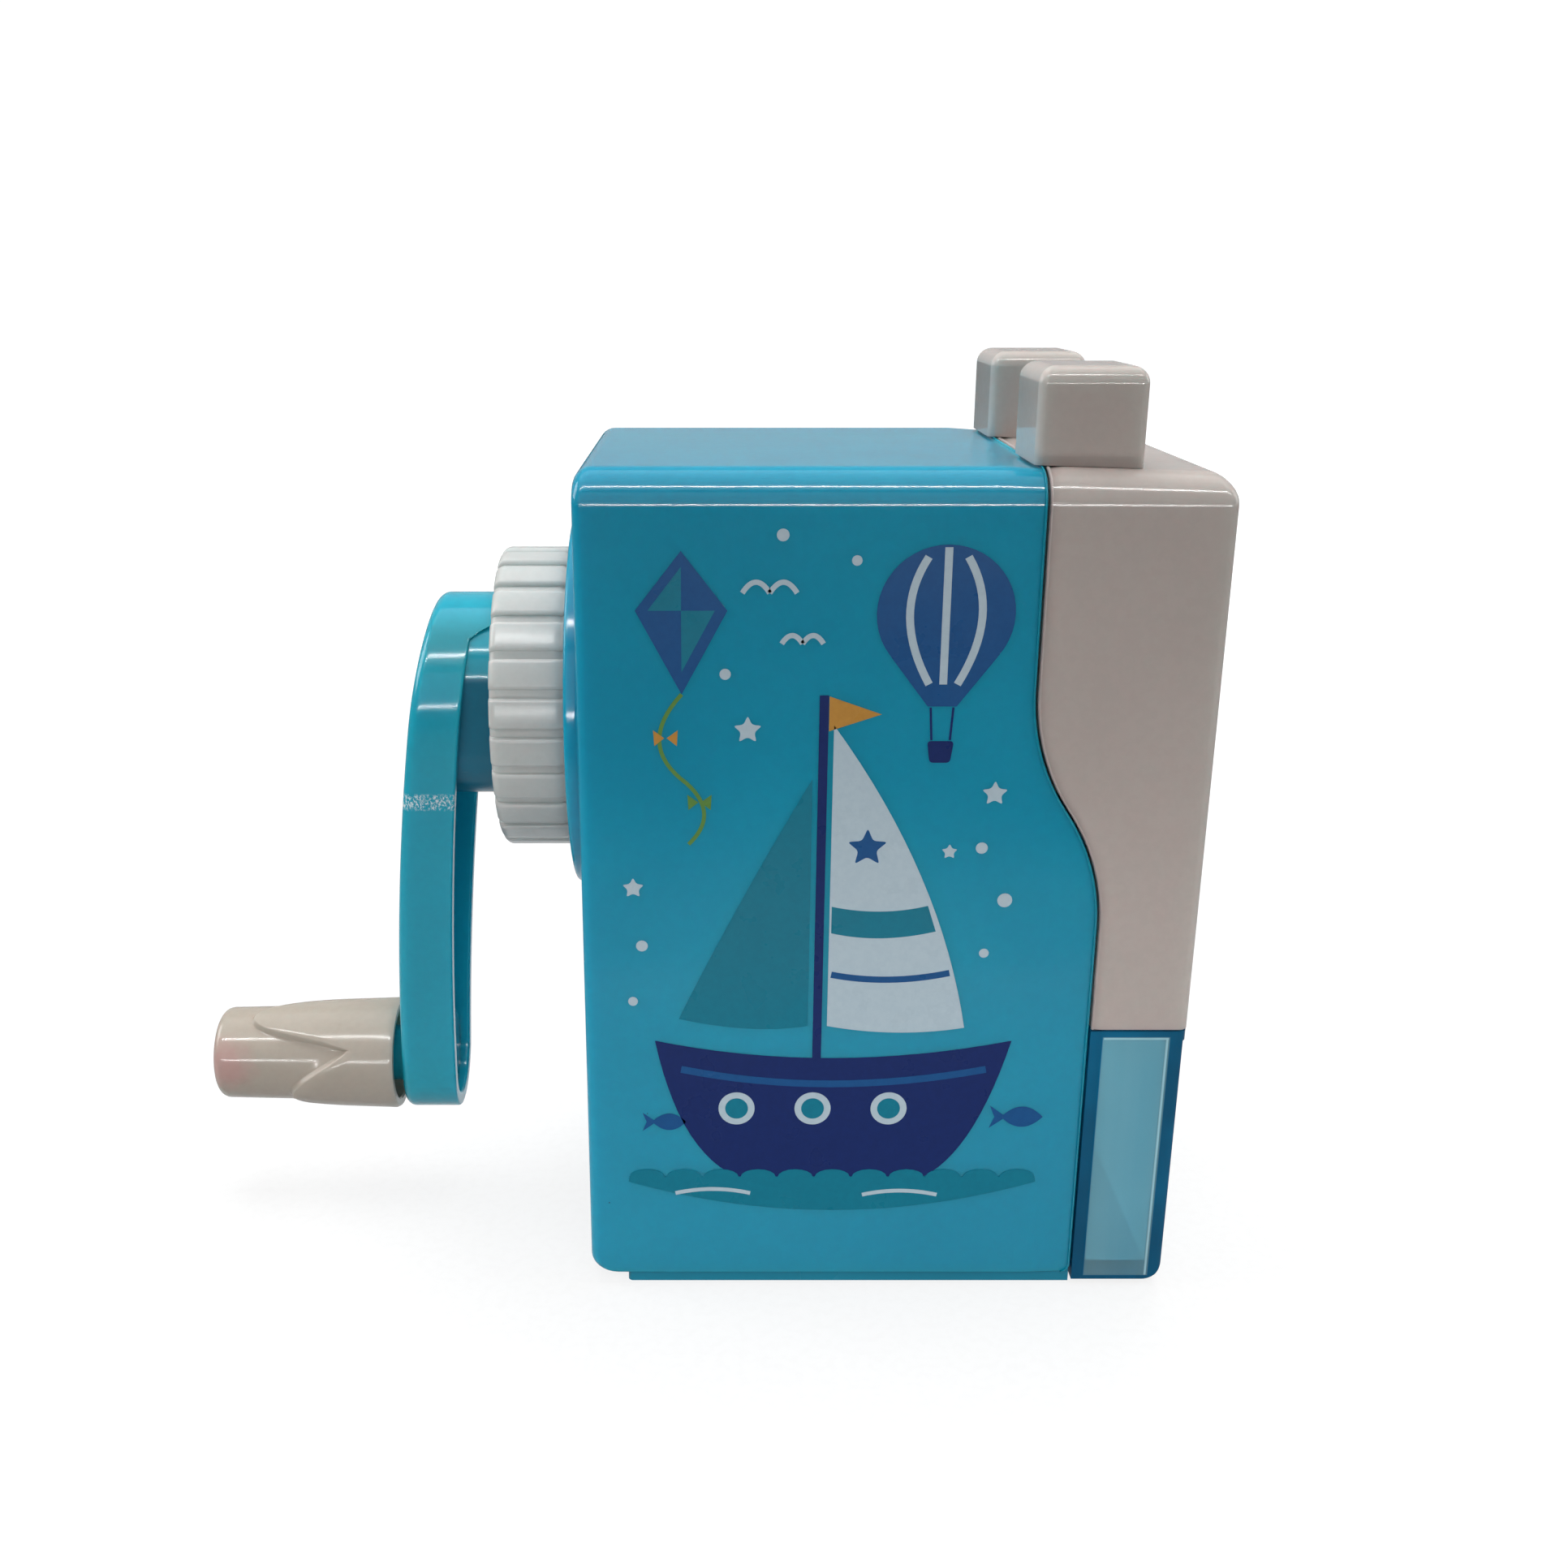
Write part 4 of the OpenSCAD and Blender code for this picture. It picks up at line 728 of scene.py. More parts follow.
# ---- Squeeze tabs ----
TAB_EDGE_R = 0.8
TAB_EDGE_LEAST = 0.12
TAB_TOP_R = 1.6
TAB_FOOT_R = 0.05
TAB_GAP = 0.02
TAB_X = (12.4, 22.8)
TAB_Y = (7.9, 19.0)
TAB_SEAM = TOP + 0.2


def rounded_box(x0, x1, y0, y1, radius, z_of, steps=6):
    """A rounded rectangle whose height comes from its X."""
    points = []
    for cx, cy, start in ((x1, y1, 0), (x0, y1, 90), (x0, y0, 180), (x1, y0, 270)):
        mx = cx - math.copysign(radius, cx - (x0 + x1) / 2)
        my = cy - math.copysign(radius, cy - (y0 + y1) / 2)
        for k in range(steps + 1):
            a = math.radians(start + 90 * k / steps)
            x = mx + radius * math.cos(a)
            points.append((x, my + radius * math.sin(a), z_of(x)))
    return points


def squeeze_tab(word):
    """The soft-edged cap of one tab, close above the sloping cover, on the CAD stem and jaw."""
    low, high = box_mm(word + "_tab")
    side = 1 if low.y + high.y > 0 else -1
    inner, outer = sorted((side * TAB_Y[0], side * TAB_Y[1]))
    shape = Shape()
    rings = []

    def level(inset, z_of):
        radius = max(TAB_EDGE_R - inset * 0.45, TAB_EDGE_LEAST)
        rings.append(shape.ring(rounded_box(TAB_X[0] + inset, TAB_X[1] - inset, inner + inset, outer - inset,
                                            radius, z_of)))

    def seat(x):
        return TOP - TOP_SLOPE * max(0.0, x - X_PART) + TAB_GAP

    for back, inset in arc(TAB_FOOT_R, 2):
        level(inset, lambda x: seat(x) + back)
    for share in (0.3, 0.6):
        level(0.0, lambda x: mixed(seat(x), high.z - TAB_TOP_R, share))
    for back, inset in arc_back(TAB_TOP_R, 9):
        level(inset, lambda x: high.z - back)
    shape.loft(rings)
    shape.cap(rings[0])
    shape.cap(rings[-1])
    cap = shape.build(word + "_tab_cap")
    node = frame["nodes"][word + "_tab"]
    stem_mesh = node.data.copy()
    stem_mesh.transform(node.matrix_world)
    stem = bpy.data.objects.new("stem", stem_mesh)
    bpy.context.scene.collection.objects.link(stem)
    # everything of the CAD tab above the seam gives way to the cap
    cut(stem, box_cutter((0.0, -30.0, TAB_SEAM), (40.0, 30.0, TAB_SEAM + 30.0)))
    dress(joined([cap, stem], word + "_tab_cap"), "near_clamp" if side < 0 else "far_clamp", "white_shell",
          MATERIALS["tab"], word + "_tab")


# ---- Printed artwork: a harbour scene on both sides ----
INK_SINK = 0.02
INK_STEP = 0.012


def disc(x, z, radius, count=40):
    turns = [math.tau * k / count for k in range(count)]
    return [(x + radius * math.cos(t), z + radius * math.sin(t)) for t in turns]


def bent(start, control, end, count=16):
    """Points of a simple curve."""
    result = []
    for k in range(count + 1):
        t = k / count
        result.append(tuple(start[i] * (1 - t) ** 2 + control[i] * 2 * t * (1 - t) + end[i] * t * t
                            for i in (0, 1)))
    return result


def rounded_corners(points, radius, steps=6):
    """A polygon with every corner rounded by a curve."""
    result = []
    for i, point in enumerate(points):
        corner = Vector(point)
        before, after = Vector(points[i - 1]) - corner, Vector(points[(i + 1) % len(points)]) - corner
        r = min(radius, before.length * 0.45, after.length * 0.45)
        result += bent(corner + before.normalized() * r, corner, corner + after.normalized() * r, steps)
    return result


def star(x, z, radius):
    """A plump star with five points."""
    corners = []
    for k in range(10):
        r = radius * (0.45 if k % 2 else 1.0)
        a = math.radians(90) + math.tau * k / 10
        corners.append((x + r * math.cos(a), z + r * math.sin(a)))
    return rounded_corners(corners, 0.35, 3)


def ribbon(path, width):
    """A band of even width along a path."""
    left, right = [], []
    for i, (x, z) in enumerate(path):
        x0, z0 = path[max(i - 1, 0)]
        x1, z1 = path[min(i + 1, len(path) - 1)]
        run = math.hypot(x1 - x0, z1 - z0)
        ux, uz = (x1 - x0) / run, (z1 - z0) / run
        left.append((x - uz * width / 2, z + ux * width / 2))
        right.append((x + uz * width / 2, z - ux * width / 2))
    return left + right[::-1]


def line(start, control, end, width):
    """A curved line of even width."""
    return ribbon(bent(start, control, end), width)


def waves(x0, x1, top, low, count):
    """A strip of water with a scalloped upper edge."""
    points = []
    step = (x1 - x0) / count
    for i in range(count):
        for k in range(9):
            a = math.pi * (1 - k / 8)
            points.append((x0 + step * (i + 0.5 + 0.47 * math.cos(a)), top + 0.9 * math.sin(a)))
    return points + bent((x1, top - 0.6), ((x0 + x1) / 2, 2 * low - top), (x0, top - 0.6), 24)


def fish(x, z, length):
    """The outlines of a body and of a tail."""
    nose, back = (x + length / 2, z), (x - length / 2, z)
    body = bent(back, (x, z + length * 0.55), nose, 12) + bent(nose, (x, z - length * 0.55), back, 12)[1:-1]
    tip, fork = x - length * 0.78, x - length * 0.66
    return [body, [(x - length * 0.38, z), (tip, z + length * 0.3), (fork, z), (tip, z - length * 0.3)]]


def draw_boat(put):
    hull = bent((-24.0, 29.5), (-21.0, 13.5), (-12.5, 12.5)) + bent((2.0, 12.5), (9.0, 13.5), (13.0, 29.5))
    put("navy", 0, hull + bent((13.0, 29.5), (-6.0, 25.5), (-24.0, 29.5))[1:-1])
    put("navy", 1, ribbon([(-7.2, 27.0), (-7.2, 66.5)], 0.9))
    put("pale", 0, bent((-6.2, 63.5), (5.0, 48.0), (8.0, 31.0))
        + bent((8.0, 31.0), (1.0, 29.8), (-6.2, 31.2)))
    put("teal", 0, bent((-8.2, 58.0), (-15.5, 45.0), (-21.5, 32.0))
        + bent((-21.5, 32.0), (-14.0, 30.2), (-8.2, 31.2)))
    put("amber", 0, [(-6.7, 66.4), (-1.6, 64.6), (-6.7, 62.9)])
    put("teal", 1, bent((-6.0, 44.5), (-1.0, 43.4), (3.7, 44.6))
        + bent((4.6, 41.8), (-1.0, 40.4), (-6.0, 41.6)))
    put("royal", 1, star(-2.6, 50.8, 2.1), line((-5.9, 37.0), (0.0, 35.8), (6.2, 37.2), 0.7))
    for x in (-15.5, -7.5, 0.5):
        put("pale", 1, disc(x, 21.6, 1.9))
        put("teal", 2, disc(x, 21.6, 1.2))
    put("royal", 1, line((-21.3, 26.2), (-6.0, 22.8), (10.5, 26.2), 0.8))
    put("teal", 3, waves(-27.0, 16.5, 13.4, 9.6, 11))
    put("pale", 4, line((-22.0, 11.4), (-18.0, 12.4), (-14.0, 11.4), 0.45),
        line((-2.0, 11.2), (2.0, 12.2), (6.0, 11.2), 0.45))


def draw_balloon(put):
    x, z, radius = 4.2, 74.5, 6.6
    put("royal", 0, disc(x, z, radius, 48))
    put("royal", 1, [(-0.9, 70.3), (9.3, 70.3), (5.6, 65.4), (2.8, 65.4)])
    for offset in (-3.4, 0.0, 3.4):
        half = 6.35 * math.sqrt(1 - (offset / radius) ** 2)
        top, foot = (x + offset * 0.55, z + half), (x + offset * 0.4, 67.6)
        put("pale", 2, line(top, (x + offset * 1.55, z), foot, 0.75))
    put("navy", 1, rounded_corners([(2.9, 61.9), (5.5, 61.9), (5.2, 59.7), (3.2, 59.7)], 0.4),
        ribbon([(3.1, 65.3), (3.3, 62.0)], 0.22), ribbon([(5.3, 65.3), (5.1, 62.0)], 0.22))


def draw_kite(put):
    put("royal", 0, [(-21.0, 80.5), (-16.6, 74.8), (-21.0, 66.6), (-25.4, 74.8)])
    put("teal", 1, [(-21.0, 79.0), (-21.0, 74.8), (-24.2, 74.8)],
        [(-21.0, 68.8), (-21.0, 74.8), (-17.8, 74.8)])
    put("green", 0, line((-21.0, 66.6), (-25.6, 61.5), (-20.6, 57.6), 0.4),
        line((-20.6, 57.6), (-17.2, 54.4), (-20.4, 51.2), 0.4))
    for ink, x, z in (("amber", -22.6, 62.2), ("green", -19.3, 55.6)):
        for way in (-1, 1):
            put(ink, 1, [(x + way * 0.12, z), (x + way * 1.2, z + 0.8), (x + way * 1.1, z - 0.8)])


def draw_small_things(put):
    """Gulls, stars, dots and fish."""
    for x, z, size in ((-12.6, 76.5, 2.6), (-9.4, 71.6, 2.0)):
        put("pale", 0, line((x - size, z), (x - size * 0.5, z + size * 0.8), (x, z), 0.5),
            line((x, z), (x + size * 0.5, z + size * 0.8), (x + size, z), 0.5))
    for x, z, size in ((-26.0, 46.5, 1.2), (-14.6, 63.0, 1.5), (9.8, 56.5, 1.4), (5.6, 50.4, 0.9)):
        put("pale", 0, star(x, z, size))
    for x, z, size in ((-25.2, 40.2, 0.6), (-16.8, 68.6, 0.55), (8.8, 50.8, 0.6), (11.4, 45.2, 0.75),
                       (9.6, 39.4, 0.5), (-26.2, 34.0, 0.5), (-11.4, 82.0, 0.6), (-4.4, 79.6, 0.5)):
        put("pale", 0, disc(x, z, size, 20))
    for x, z, length in ((14.6, 20.6, 4.4), (-22.6, 20.0, 3.6)):
        for layer, part in enumerate(fish(x, z, length)):
            put("royal", layer, part)


def print_on_sides():
    """One thin closed piece for each ink on each side."""
    shapes = []

    def put(ink, layer, *outlines):
        shapes.extend((ink, layer, outline) for outline in outlines)

    for draw in (draw_boat, draw_balloon, draw_kite, draw_small_things):
        draw(put)
    for side, word in ((-1, "near"), (1, "far")):
        for ink in INKS:
            shape = Shape()
            for colour, layer, outline in shapes:
                if colour == ink:
                    depths = (HALF_W - INK_SINK, HALF_W + INK_STEP * (layer + 1))
                    low, high = (shape.ring([(x, side * out, z) for x, z in outline]) for out in depths)
                    shape.strip(low, high)
                    shape.fill(low)
                    shape.fill(high)
            dress(shape.build_plain(f"print_{word}_{ink}"), "housing", "blue_shell", MATERIALS[ink])


# ---- Collar ----
X_COLLAR_IN = X_REAR - BOSS_T - LINE_GAP
X_COLLAR_OUT = COLLAR_LOW.x
COLLAR_R = (COLLAR_HIGH.z - COLLAR_LOW.z) / 2
COLLAR_RIM = 0.9
COLLAR_INNER_RIM = 0.35
COLLAR_WOBBLE = 0.03
COLLAR_CUP_R = 12.1
COLLAR_SPIGOT_R = 14.3
SHAFT_R = 4.0
GROOVE_N = 25
GROOVE_PITCH = math.tau / GROOVE_N
GROOVE_PHASE = math.radians(6.3)
GROOVE_DEPTH = 0.5
GROOVE_FLOOR = 0.45
RIB_ROUND = 0.45


def collar_depth(turn):
    """How deep the knurl is at an angle around the collar: flat ribs with rounded shoulders."""
    offset = abs((turn - GROOVE_PHASE + GROOVE_PITCH / 2) % GROOVE_PITCH - GROOVE_PITCH / 2) * COLLAR_R
    share = clamped(1 - (offset - GROOVE_FLOOR) / RIB_ROUND)
    return GROOVE_DEPTH * (1 - math.sqrt(1 - share ** 2))


def collar_turns():
    """Angles around the collar, close together on the shoulders of the ribs."""
    low, shoulder = GROOVE_FLOOR / COLLAR_R, RIB_ROUND / COLLAR_R
    half = [0.0, low * 0.6, low * 0.98]
    half += [low + shoulder * (1 - math.cos(math.radians(90 * k / 8))) for k in range(9)]
    half += between(low + shoulder, GROOVE_PITCH / 2, 4)
    turns = []
    for rib in range(GROOVE_N):
        centre = GROOVE_PHASE + rib * GROOVE_PITCH
        turns += [centre + a for a in half] + [centre + GROOVE_PITCH / 2]
        turns += [centre + GROOVE_PITCH - a for a in reversed(half[1:])]
    return turns


def knurled_collar():
    shape = Shape()
    turns = collar_turns()
    profile = [(X_COLLAR_IN - back, inset) for back, inset in arc_back(COLLAR_INNER_RIM, 3)]
    profile += [(x, 0.0) for x in between(profile[-1][0], X_COLLAR_OUT + COLLAR_RIM, 8)]
    profile += [(X_COLLAR_OUT + back, inset) for back, inset in arc_back(COLLAR_RIM, 9)]
    rings = []
    for x, inset in profile:
        points = []
        for turn in turns:
            y, z = math.cos(turn), math.sin(turn)
            wobble = COLLAR_WOBBLE * noise.noise(Vector((y * 4, z * 4, x * 0.2)))
            radius = COLLAR_R - inset - collar_depth(turn) + wobble
            points.append((x, radius * y, AXIS_H + radius * z))
        rings.append(shape.ring(points))
    shape.loft(rings)
    bore, dish, chamber = SHAFT_R + 0.1, X_COLLAR_OUT + 0.35, X_COLLAR_IN - 1.5
    face = shape.revolve([(X_COLLAR_OUT, COLLAR_R - 2.4), (dish, COLLAR_R - 2.8), (dish, HUB_R + 1.2),
                          (X_COLLAR_OUT, HUB_R + 0.8), (X_COLLAR_OUT, bore), (chamber, bore)], AXIS_H)
    shape.fill(rings[-1], face[0])
    ledge, foot = SHAFT_R + 2.5, X_COLLAR_OUT + 2.0
    spigot = shape.revolve([(chamber, ledge), (foot, ledge), (foot, COLLAR_CUP_R),
                            (COLLAR_HIGH.x, COLLAR_CUP_R), (COLLAR_HIGH.x, COLLAR_SPIGOT_R),
                            (X_COLLAR_IN, COLLAR_SPIGOT_R)], AXIS_H)
    shape.strip(face[-1], spigot[0])
    shape.fill(rings[0], spigot[-1])
    dress(shape.build("collar_ring", 40.0), "collar", "collar_white", MATERIALS["collar"], "knurled_collar")


# ---- Crank arm ----
HUB_END_R = ARM_TOP - AXIS_H
HUB_R = HUB_END_R - 1.2
HUB_HALF = 9.7
HUB_CORNER = 6.0
HUB_GAP = 0.3
GRIP_END_R = 6.25
ARM_WALL = 1.6
ARM_FACE_T = 1.7
ARM_BOW_R = 350.0
ARM_RIM_BOW_R = 450.0
ARM_DEPTH = 6.35
ARM_ROUND = 1.1
ARM_LIP_R = 0.3
ARM_FILLET = 0.8
X_ARM_LOW = X_COLLAR_OUT - 13.55
Z_BOW = Z_GRIP - 11.6
BRIDGE_START = 8.2
BRIDGE_RISE = 1.5
BRIDGE_GAP = 0.25
PAINTED_SHADE_REACH = 12.5
SCREW_PLAY = 0.2
SCREW_HEAD_T = 1.1
GRIP_PIN_R = 3.25
PIN_FILLET = 0.5
ON_AXIS = 0.02


def bow(radius, z):
    """How far a bowed edge of the arm has moved in at a height."""
    return radius - math.sqrt(radius ** 2 - (z - Z_BOW) ** 2)


def arm_face_x(z):
    return X_ARM_LOW + bow(ARM_BOW_R, z)


def arm_floor_x(z):
    return arm_face_x(z) + ARM_FACE_T


def arm_rim_x(z):
    """X of the channel's rim, which rises to the collar in a small bridge above the hub."""
    rim = X_ARM_LOW + ARM_DEPTH + bow(ARM_RIM_BOW_R, z)
    share = clamped((z - AXIS_H - BRIDGE_START) / BRIDGE_RISE)
    return mixed(rim, X_COLLAR_OUT - BRIDGE_GAP, smooth_step(share))


def arm_radius(share):
    """Half the width of the paddle, from the hub (0) to the grip (1)."""
    return mixed(HUB_END_R, GRIP_END_R, share)


def arm_outline():
    """(centre z, unit y, unit z, radius) around the paddle; a point is centre + radius * unit."""
    lean = math.degrees(math.asin((HUB_END_R - GRIP_END_R) / (AXIS_H - Z_GRIP)))
    samples = []

    def point(angle, share):
        a = math.radians(angle)
        samples.append((mixed(AXIS_H, Z_GRIP, share), math.cos(a), math.sin(a), arm_radius(share)))

    hub_steps, side_steps, grip_steps = 44, 34, 30
    for k in range(hub_steps):
        point(-lean + (180 + 2 * lean) * k / hub_steps, 0)
    for k in range(side_steps):
        point(180 + lean, k / side_steps)
    for k in range(grip_steps):
        point(180 + lean + (180 - 2 * lean) * k / grip_steps, 1)
    for k in range(side_steps):
        point(-lean, 1 - k / side_steps)
    return samples


def crank_arm():
    """The channel of the arm, with its hub and the pin for the grip."""
    shape = Shape()
    outline = arm_outline()
    rings = []

    def ring(radius_of, x_of):
        points = []
        for centre, uy, uz, radius in outline:
            r = radius_of(radius)
            z = centre + r * uz
            points.append((x_of(z), r * uy, z))
        rings.append(shape.ring(points))

    def wall(inset, x_of):
        ring(lambda radius: max(radius - inset, 0.0), x_of)

    def flat(share, x_of):
        ring(lambda radius: (radius - ARM_WALL - 1.2) * share, x_of)

    for share in (0.0, 0.2, 0.45, 0.7, 1.0):
        flat(share, arm_face_x)
    wall(ARM_WALL + 0.4, arm_face_x)
    for back, inset in arc(ARM_ROUND, 7):
        wall(inset, lambda z: arm_face_x(z) + back)
    for share in (0.2, 0.4, 0.6, 0.8):
        wall(0.0, lambda z: mixed(arm_face_x(z) + ARM_ROUND, arm_rim_x(z) - ARM_LIP_R, share))
    for back, inset in arc_back(ARM_LIP_R, 3):
        wall(inset, lambda z: arm_rim_x(z) - back)
    for back, inset in arc(ARM_LIP_R, 3):
        wall(ARM_WALL - inset, lambda z: arm_rim_x(z) - back)
    for share in (0.25, 0.5, 0.75):
        wall(ARM_WALL, lambda z: mixed(arm_rim_x(z) - ARM_LIP_R, arm_floor_x(z) + ARM_FILLET, share))
    for back, inset in arc(ARM_FILLET, 4, 90.0, 0.0):
        wall(ARM_WALL + ARM_FILLET - inset, lambda z: arm_floor_x(z) + back)
    for share in (0.96, 0.7, 0.45, 0.2, 0.0):
        flat(share, arm_floor_x)
    shape.loft(rings)
    parts = [shape.build("crank_arm_shell"), arm_hub(), arm_pin()]
    for part in parts[:2]:
        cut(part, recess_cutter())
    arm = dress(joined(parts, "crank_arm_shell"), "crank", "blue_shell", MATERIALS["arm"], "crank_arm")
    paint_inside_shade(arm)


def hub_outline(inset):
    """A square with big round corners around the axis, in Y and Z."""
    half = HUB_HALF - inset
    corners = rounded_box(-half, half, -half, half, HUB_CORNER - inset, lambda y: 0.0, 14)
    return [(y, AXIS_H + z) for y, z, _ in corners]


def arm_hub():
    """The boss in the channel that takes the shaft; its outer end follows the bowed face."""
    shape = Shape()
    x_hub = X_COLLAR_OUT - HUB_GAP
    rings = [shape.ring([(arm_face_x(z) + ARM_FACE_T / 2, y, z) for y, z in hub_outline(0.0)])]
    shape.cap(rings[0])
    for back, inset in arc_back(0.4, 4):
        rings.append(shape.ring([(x_hub - back, y, z) for y, z in hub_outline(inset)]))
    shape.loft(rings)
    socket = shape.revolve([(x_hub, SHAFT_R), (x_hub - 1.0, SHAFT_R)], AXIS_H, 60)
    shape.fill(rings[-1], socket[0])
    shape.cap(socket[-1])
    return shape.build("arm_hub")


def paint_inside_shade(arm):
    """Painted shade: a darker blue on the boss and on the channel's inside near it, where shade falls."""
    arm.data.materials.append(MATERIALS["arm_painted_shade"])
    for face in arm.data.polygons:
        x, y, z = (c / MM for c in face.center)
        share = clamped((AXIS_H - z) / (AXIS_H - Z_GRIP))
        away = math.hypot(y, z - mixed(AXIS_H, Z_GRIP, share))
        inside = x > arm_face_x(z) + ARM_FACE_T * 0.6 and away < arm_radius(share) - ARM_WALL * 0.6
        # painted shade: faces inside the channel near the hub take the darker material
        if inside and z > AXIS_H - PAINTED_SHADE_REACH:
            face.material_index = 1


def recess_cutter():
    """The round recess in the arm's outer face around the head of the crank screw."""
    low, high = box_mm("crank_screw")
    radius = (high.z - low.z) / 2 + SCREW_PLAY
    shape = Shape()
    rings = shape.revolve([(X_ARM_LOW - 2.0, radius), (low.x + SCREW_HEAD_T, radius)], AXIS_H, 64)
    shape.cap(rings[0])
    shape.cap(rings[-1])
    return shape.build_plain("recess_cutter")


def arm_pin():
    """The pin that carries the grip, with its thicker root inside the channel."""
    shape = Shape()
    x_face, x_end = arm_face_x(Z_GRIP), GRIP_LOW.x + 1.9
    x_root, root_r = x_face + ARM_DEPTH - 1.2, GRIP_END_R - 1.0
    profile = [(x_end, ON_AXIS), (x_end, GRIP_PIN_R - 0.3), (x_end + 0.3, GRIP_PIN_R),
               (x_face - PIN_FILLET, GRIP_PIN_R)]
    for rise, back in reversed(list(hollow_arc(PIN_FILLET, 4))):
        profile.append((x_face - rise, GRIP_PIN_R + back))
    profile += [(x_face + 1.0, GRIP_PIN_R + 0.6), (x_face + 1.0, root_r), (x_root - 0.3, root_r),
                (x_root, root_r - 0.3), (x_root, ON_AXIS)]
    shape.revolve(profile, Z_GRIP, 64)
    return shape.build("arm_pin")


# ---- Grip ----
GRIP_R = 6.5
GRIP_SLEEVE_R = 6.02
GRIP_TIP_R = 5.3
GRIP_STEP = 0.75
GRIP_BORE = 5.35
GRIP_NECK = 3.35
GRIP_CUP = 4.35
GRIP_RIM = 1.2
GRIP_COLUMNS = 240
STEP_HALF = 0.28
PETAL_SPAN = 7.0
# (angle, distance from the grip's tip) along the edge of the two petals of the step
LONG_PETAL = ((30, 16.2), (38, 11.9), (52, 5.9), (66, 4.3),
              (80, 4.6), (96, 7.5), (112, 12.9), (120, 16.2))
SHORT_PETAL = ((-60, 16.2), (-53, 11.9), (-42, 9.4), (-28, 8.9),
               (-14, 9.8), (2, 11.9), (18, 14.5), (30, 16.2))


def petal_edge(turn):
    """X of the zigzag step at an angle from -60 to 120 degrees above the near side."""
    table = SHORT_PETAL if turn < 30 else LONG_PETAL
    for (a, near), (b, far) in zip(table, table[1:]):
        if a <= turn <= b:
            return GRIP_LOW.x + mixed(near, far, (turn - a) / (b - a))
    raise ValueError(turn)


def smooth_edge(turn):
    """The zigzag, the same twice around, with its tips rounded; the valleys stay sharp."""
    local = (turn + 60) % 180 - 60
    low, high = (-60, 30) if local < 30 else (30, 120)
    near = [clamped(local + PETAL_SPAN * k / 3, low + 0.001, high - 0.001) for k in range(-3, 4)]
    return sum(petal_edge(at) for at in near) / len(near)


def grip():
    shape = Shape()
    x_in, x_out = GRIP_HIGH.x, GRIP_LOW.x
    length = x_in - x_out
    core_r = GRIP_R - GRIP_STEP

    def core(x):
        r = mixed(core_r, GRIP_TIP_R, (x_in - x) / length)
        rim = clamped(1 - (x - x_out) / GRIP_RIM)
        return r - GRIP_RIM * (1 - math.sqrt(1 - rim ** 2))

    def sleeve(x):
        return mixed(GRIP_R, GRIP_SLEEVE_R, (x_in - x) / (0.74 * length))

    columns = []
    for k in range(GRIP_COLUMNS):
        turn = 360 * k / GRIP_COLUMNS
        edge = smooth_edge(turn)
        slope = abs(smooth_edge(turn + 1.5) - smooth_edge(turn - 1.5)) / (math.radians(3.0) * 6.0)
        wide = STEP_HALF * math.sqrt(1 + min(slope, 6.0) ** 2)
        section = []
        for s in (0.0, 0.02, 0.07, 0.3, 0.55, 0.8, 1.0):
            x = mixed(x_in, edge + wide, s)
            section.append((x, sleeve(x) - 0.25 * clamped(1 - s / 0.05)))
        for s in (0.15, 0.3, 0.45, 0.6, 0.75, 0.88, 1.0):
            x = mixed(edge + wide, edge - wide, s)
            section.append((x, mixed(sleeve(x), core(x), smooth_step(s))))
        for s in (0.12, 0.3, 0.55, 0.8):
            x = mixed(edge - wide, x_out + GRIP_RIM, s)
            section.append((x, core(x)))
        for rim in (GRIP_RIM, 0.9, 0.62, 0.4, 0.22, 0.1, 0.03, 0.0):
            section.append((x_out + rim, core(x_out + rim)))
        y, z = -math.cos(math.radians(turn)), math.sin(math.radians(turn))
        columns.append([(x, r * y, Z_GRIP + r * z) for x, r in section])
    rings = [shape.ring(points) for points in zip(*columns)]
    shape.loft(rings)

    def circle(x, r):
        turns = [math.tau * k / GRIP_COLUMNS for k in range(GRIP_COLUMNS)]
        return shape.ring([(x, -r * math.cos(t), Z_GRIP + r * math.sin(t)) for t in turns])

    neck, seat = x_in - 5.0, x_out + 2.1
    inside = [(x_in, GRIP_BORE + 0.2), (x_in - 0.2, GRIP_BORE), (neck + 0.3, GRIP_BORE),
              (neck, GRIP_BORE - 0.3), (neck, GRIP_NECK), (seat, GRIP_NECK), (seat, GRIP_CUP),
              (x_out + 0.15, GRIP_CUP)]
    shape.loft([rings[0]] + [circle(x, r) for x, r in inside] + [rings[-1]])
    dress(shape.build("grip_sleeve", 44.0), "grip", "grip_white", MATERIALS["grip"], "grip")


# ---- Springs, and the CAD nodes that stay ----
CARRIED = {
    "blue": ("front_bulkhead",),
    "plinth": ("base_plate",),
    "steel": ("base_screws", "bulkhead_screws", "crank_shaft", "shaft_pin", "cutter_pin", "crank_screw",
              "grip_screw", "clamp_screws", "guide_rods", "rod_washers", "rod_screws"),
    "tool_steel": ("helical_cutter",),
    "cast": ("ring_gear", "cutter_carrier", "cutter_pinion"),
    "white": ("clamp_housing", "clamp_retainer"),
    "rubber": ("near_jaw_pad", "far_jaw_pad"),
    "clear": ("shavings_drawer",),
}


def carried_nodes():
    """CAD nodes that are shown as they are, with a finished surface."""
    for finish, names in CARRIED.items():
        for name in names:
            for material_slot in frame["nodes"][name].material_slots:
                material_slot.material = MATERIALS[finish]


COIL_SEAT = 0.15
COIL_STEPS = 28
WIRE_SIDES = 10
FEED_COIL_R = 2.2
FEED_WIRE_R = 0.3
JAW_COIL_R = 1.65
JAW_WIRE_R = 0.25
JAW_START = 2.5


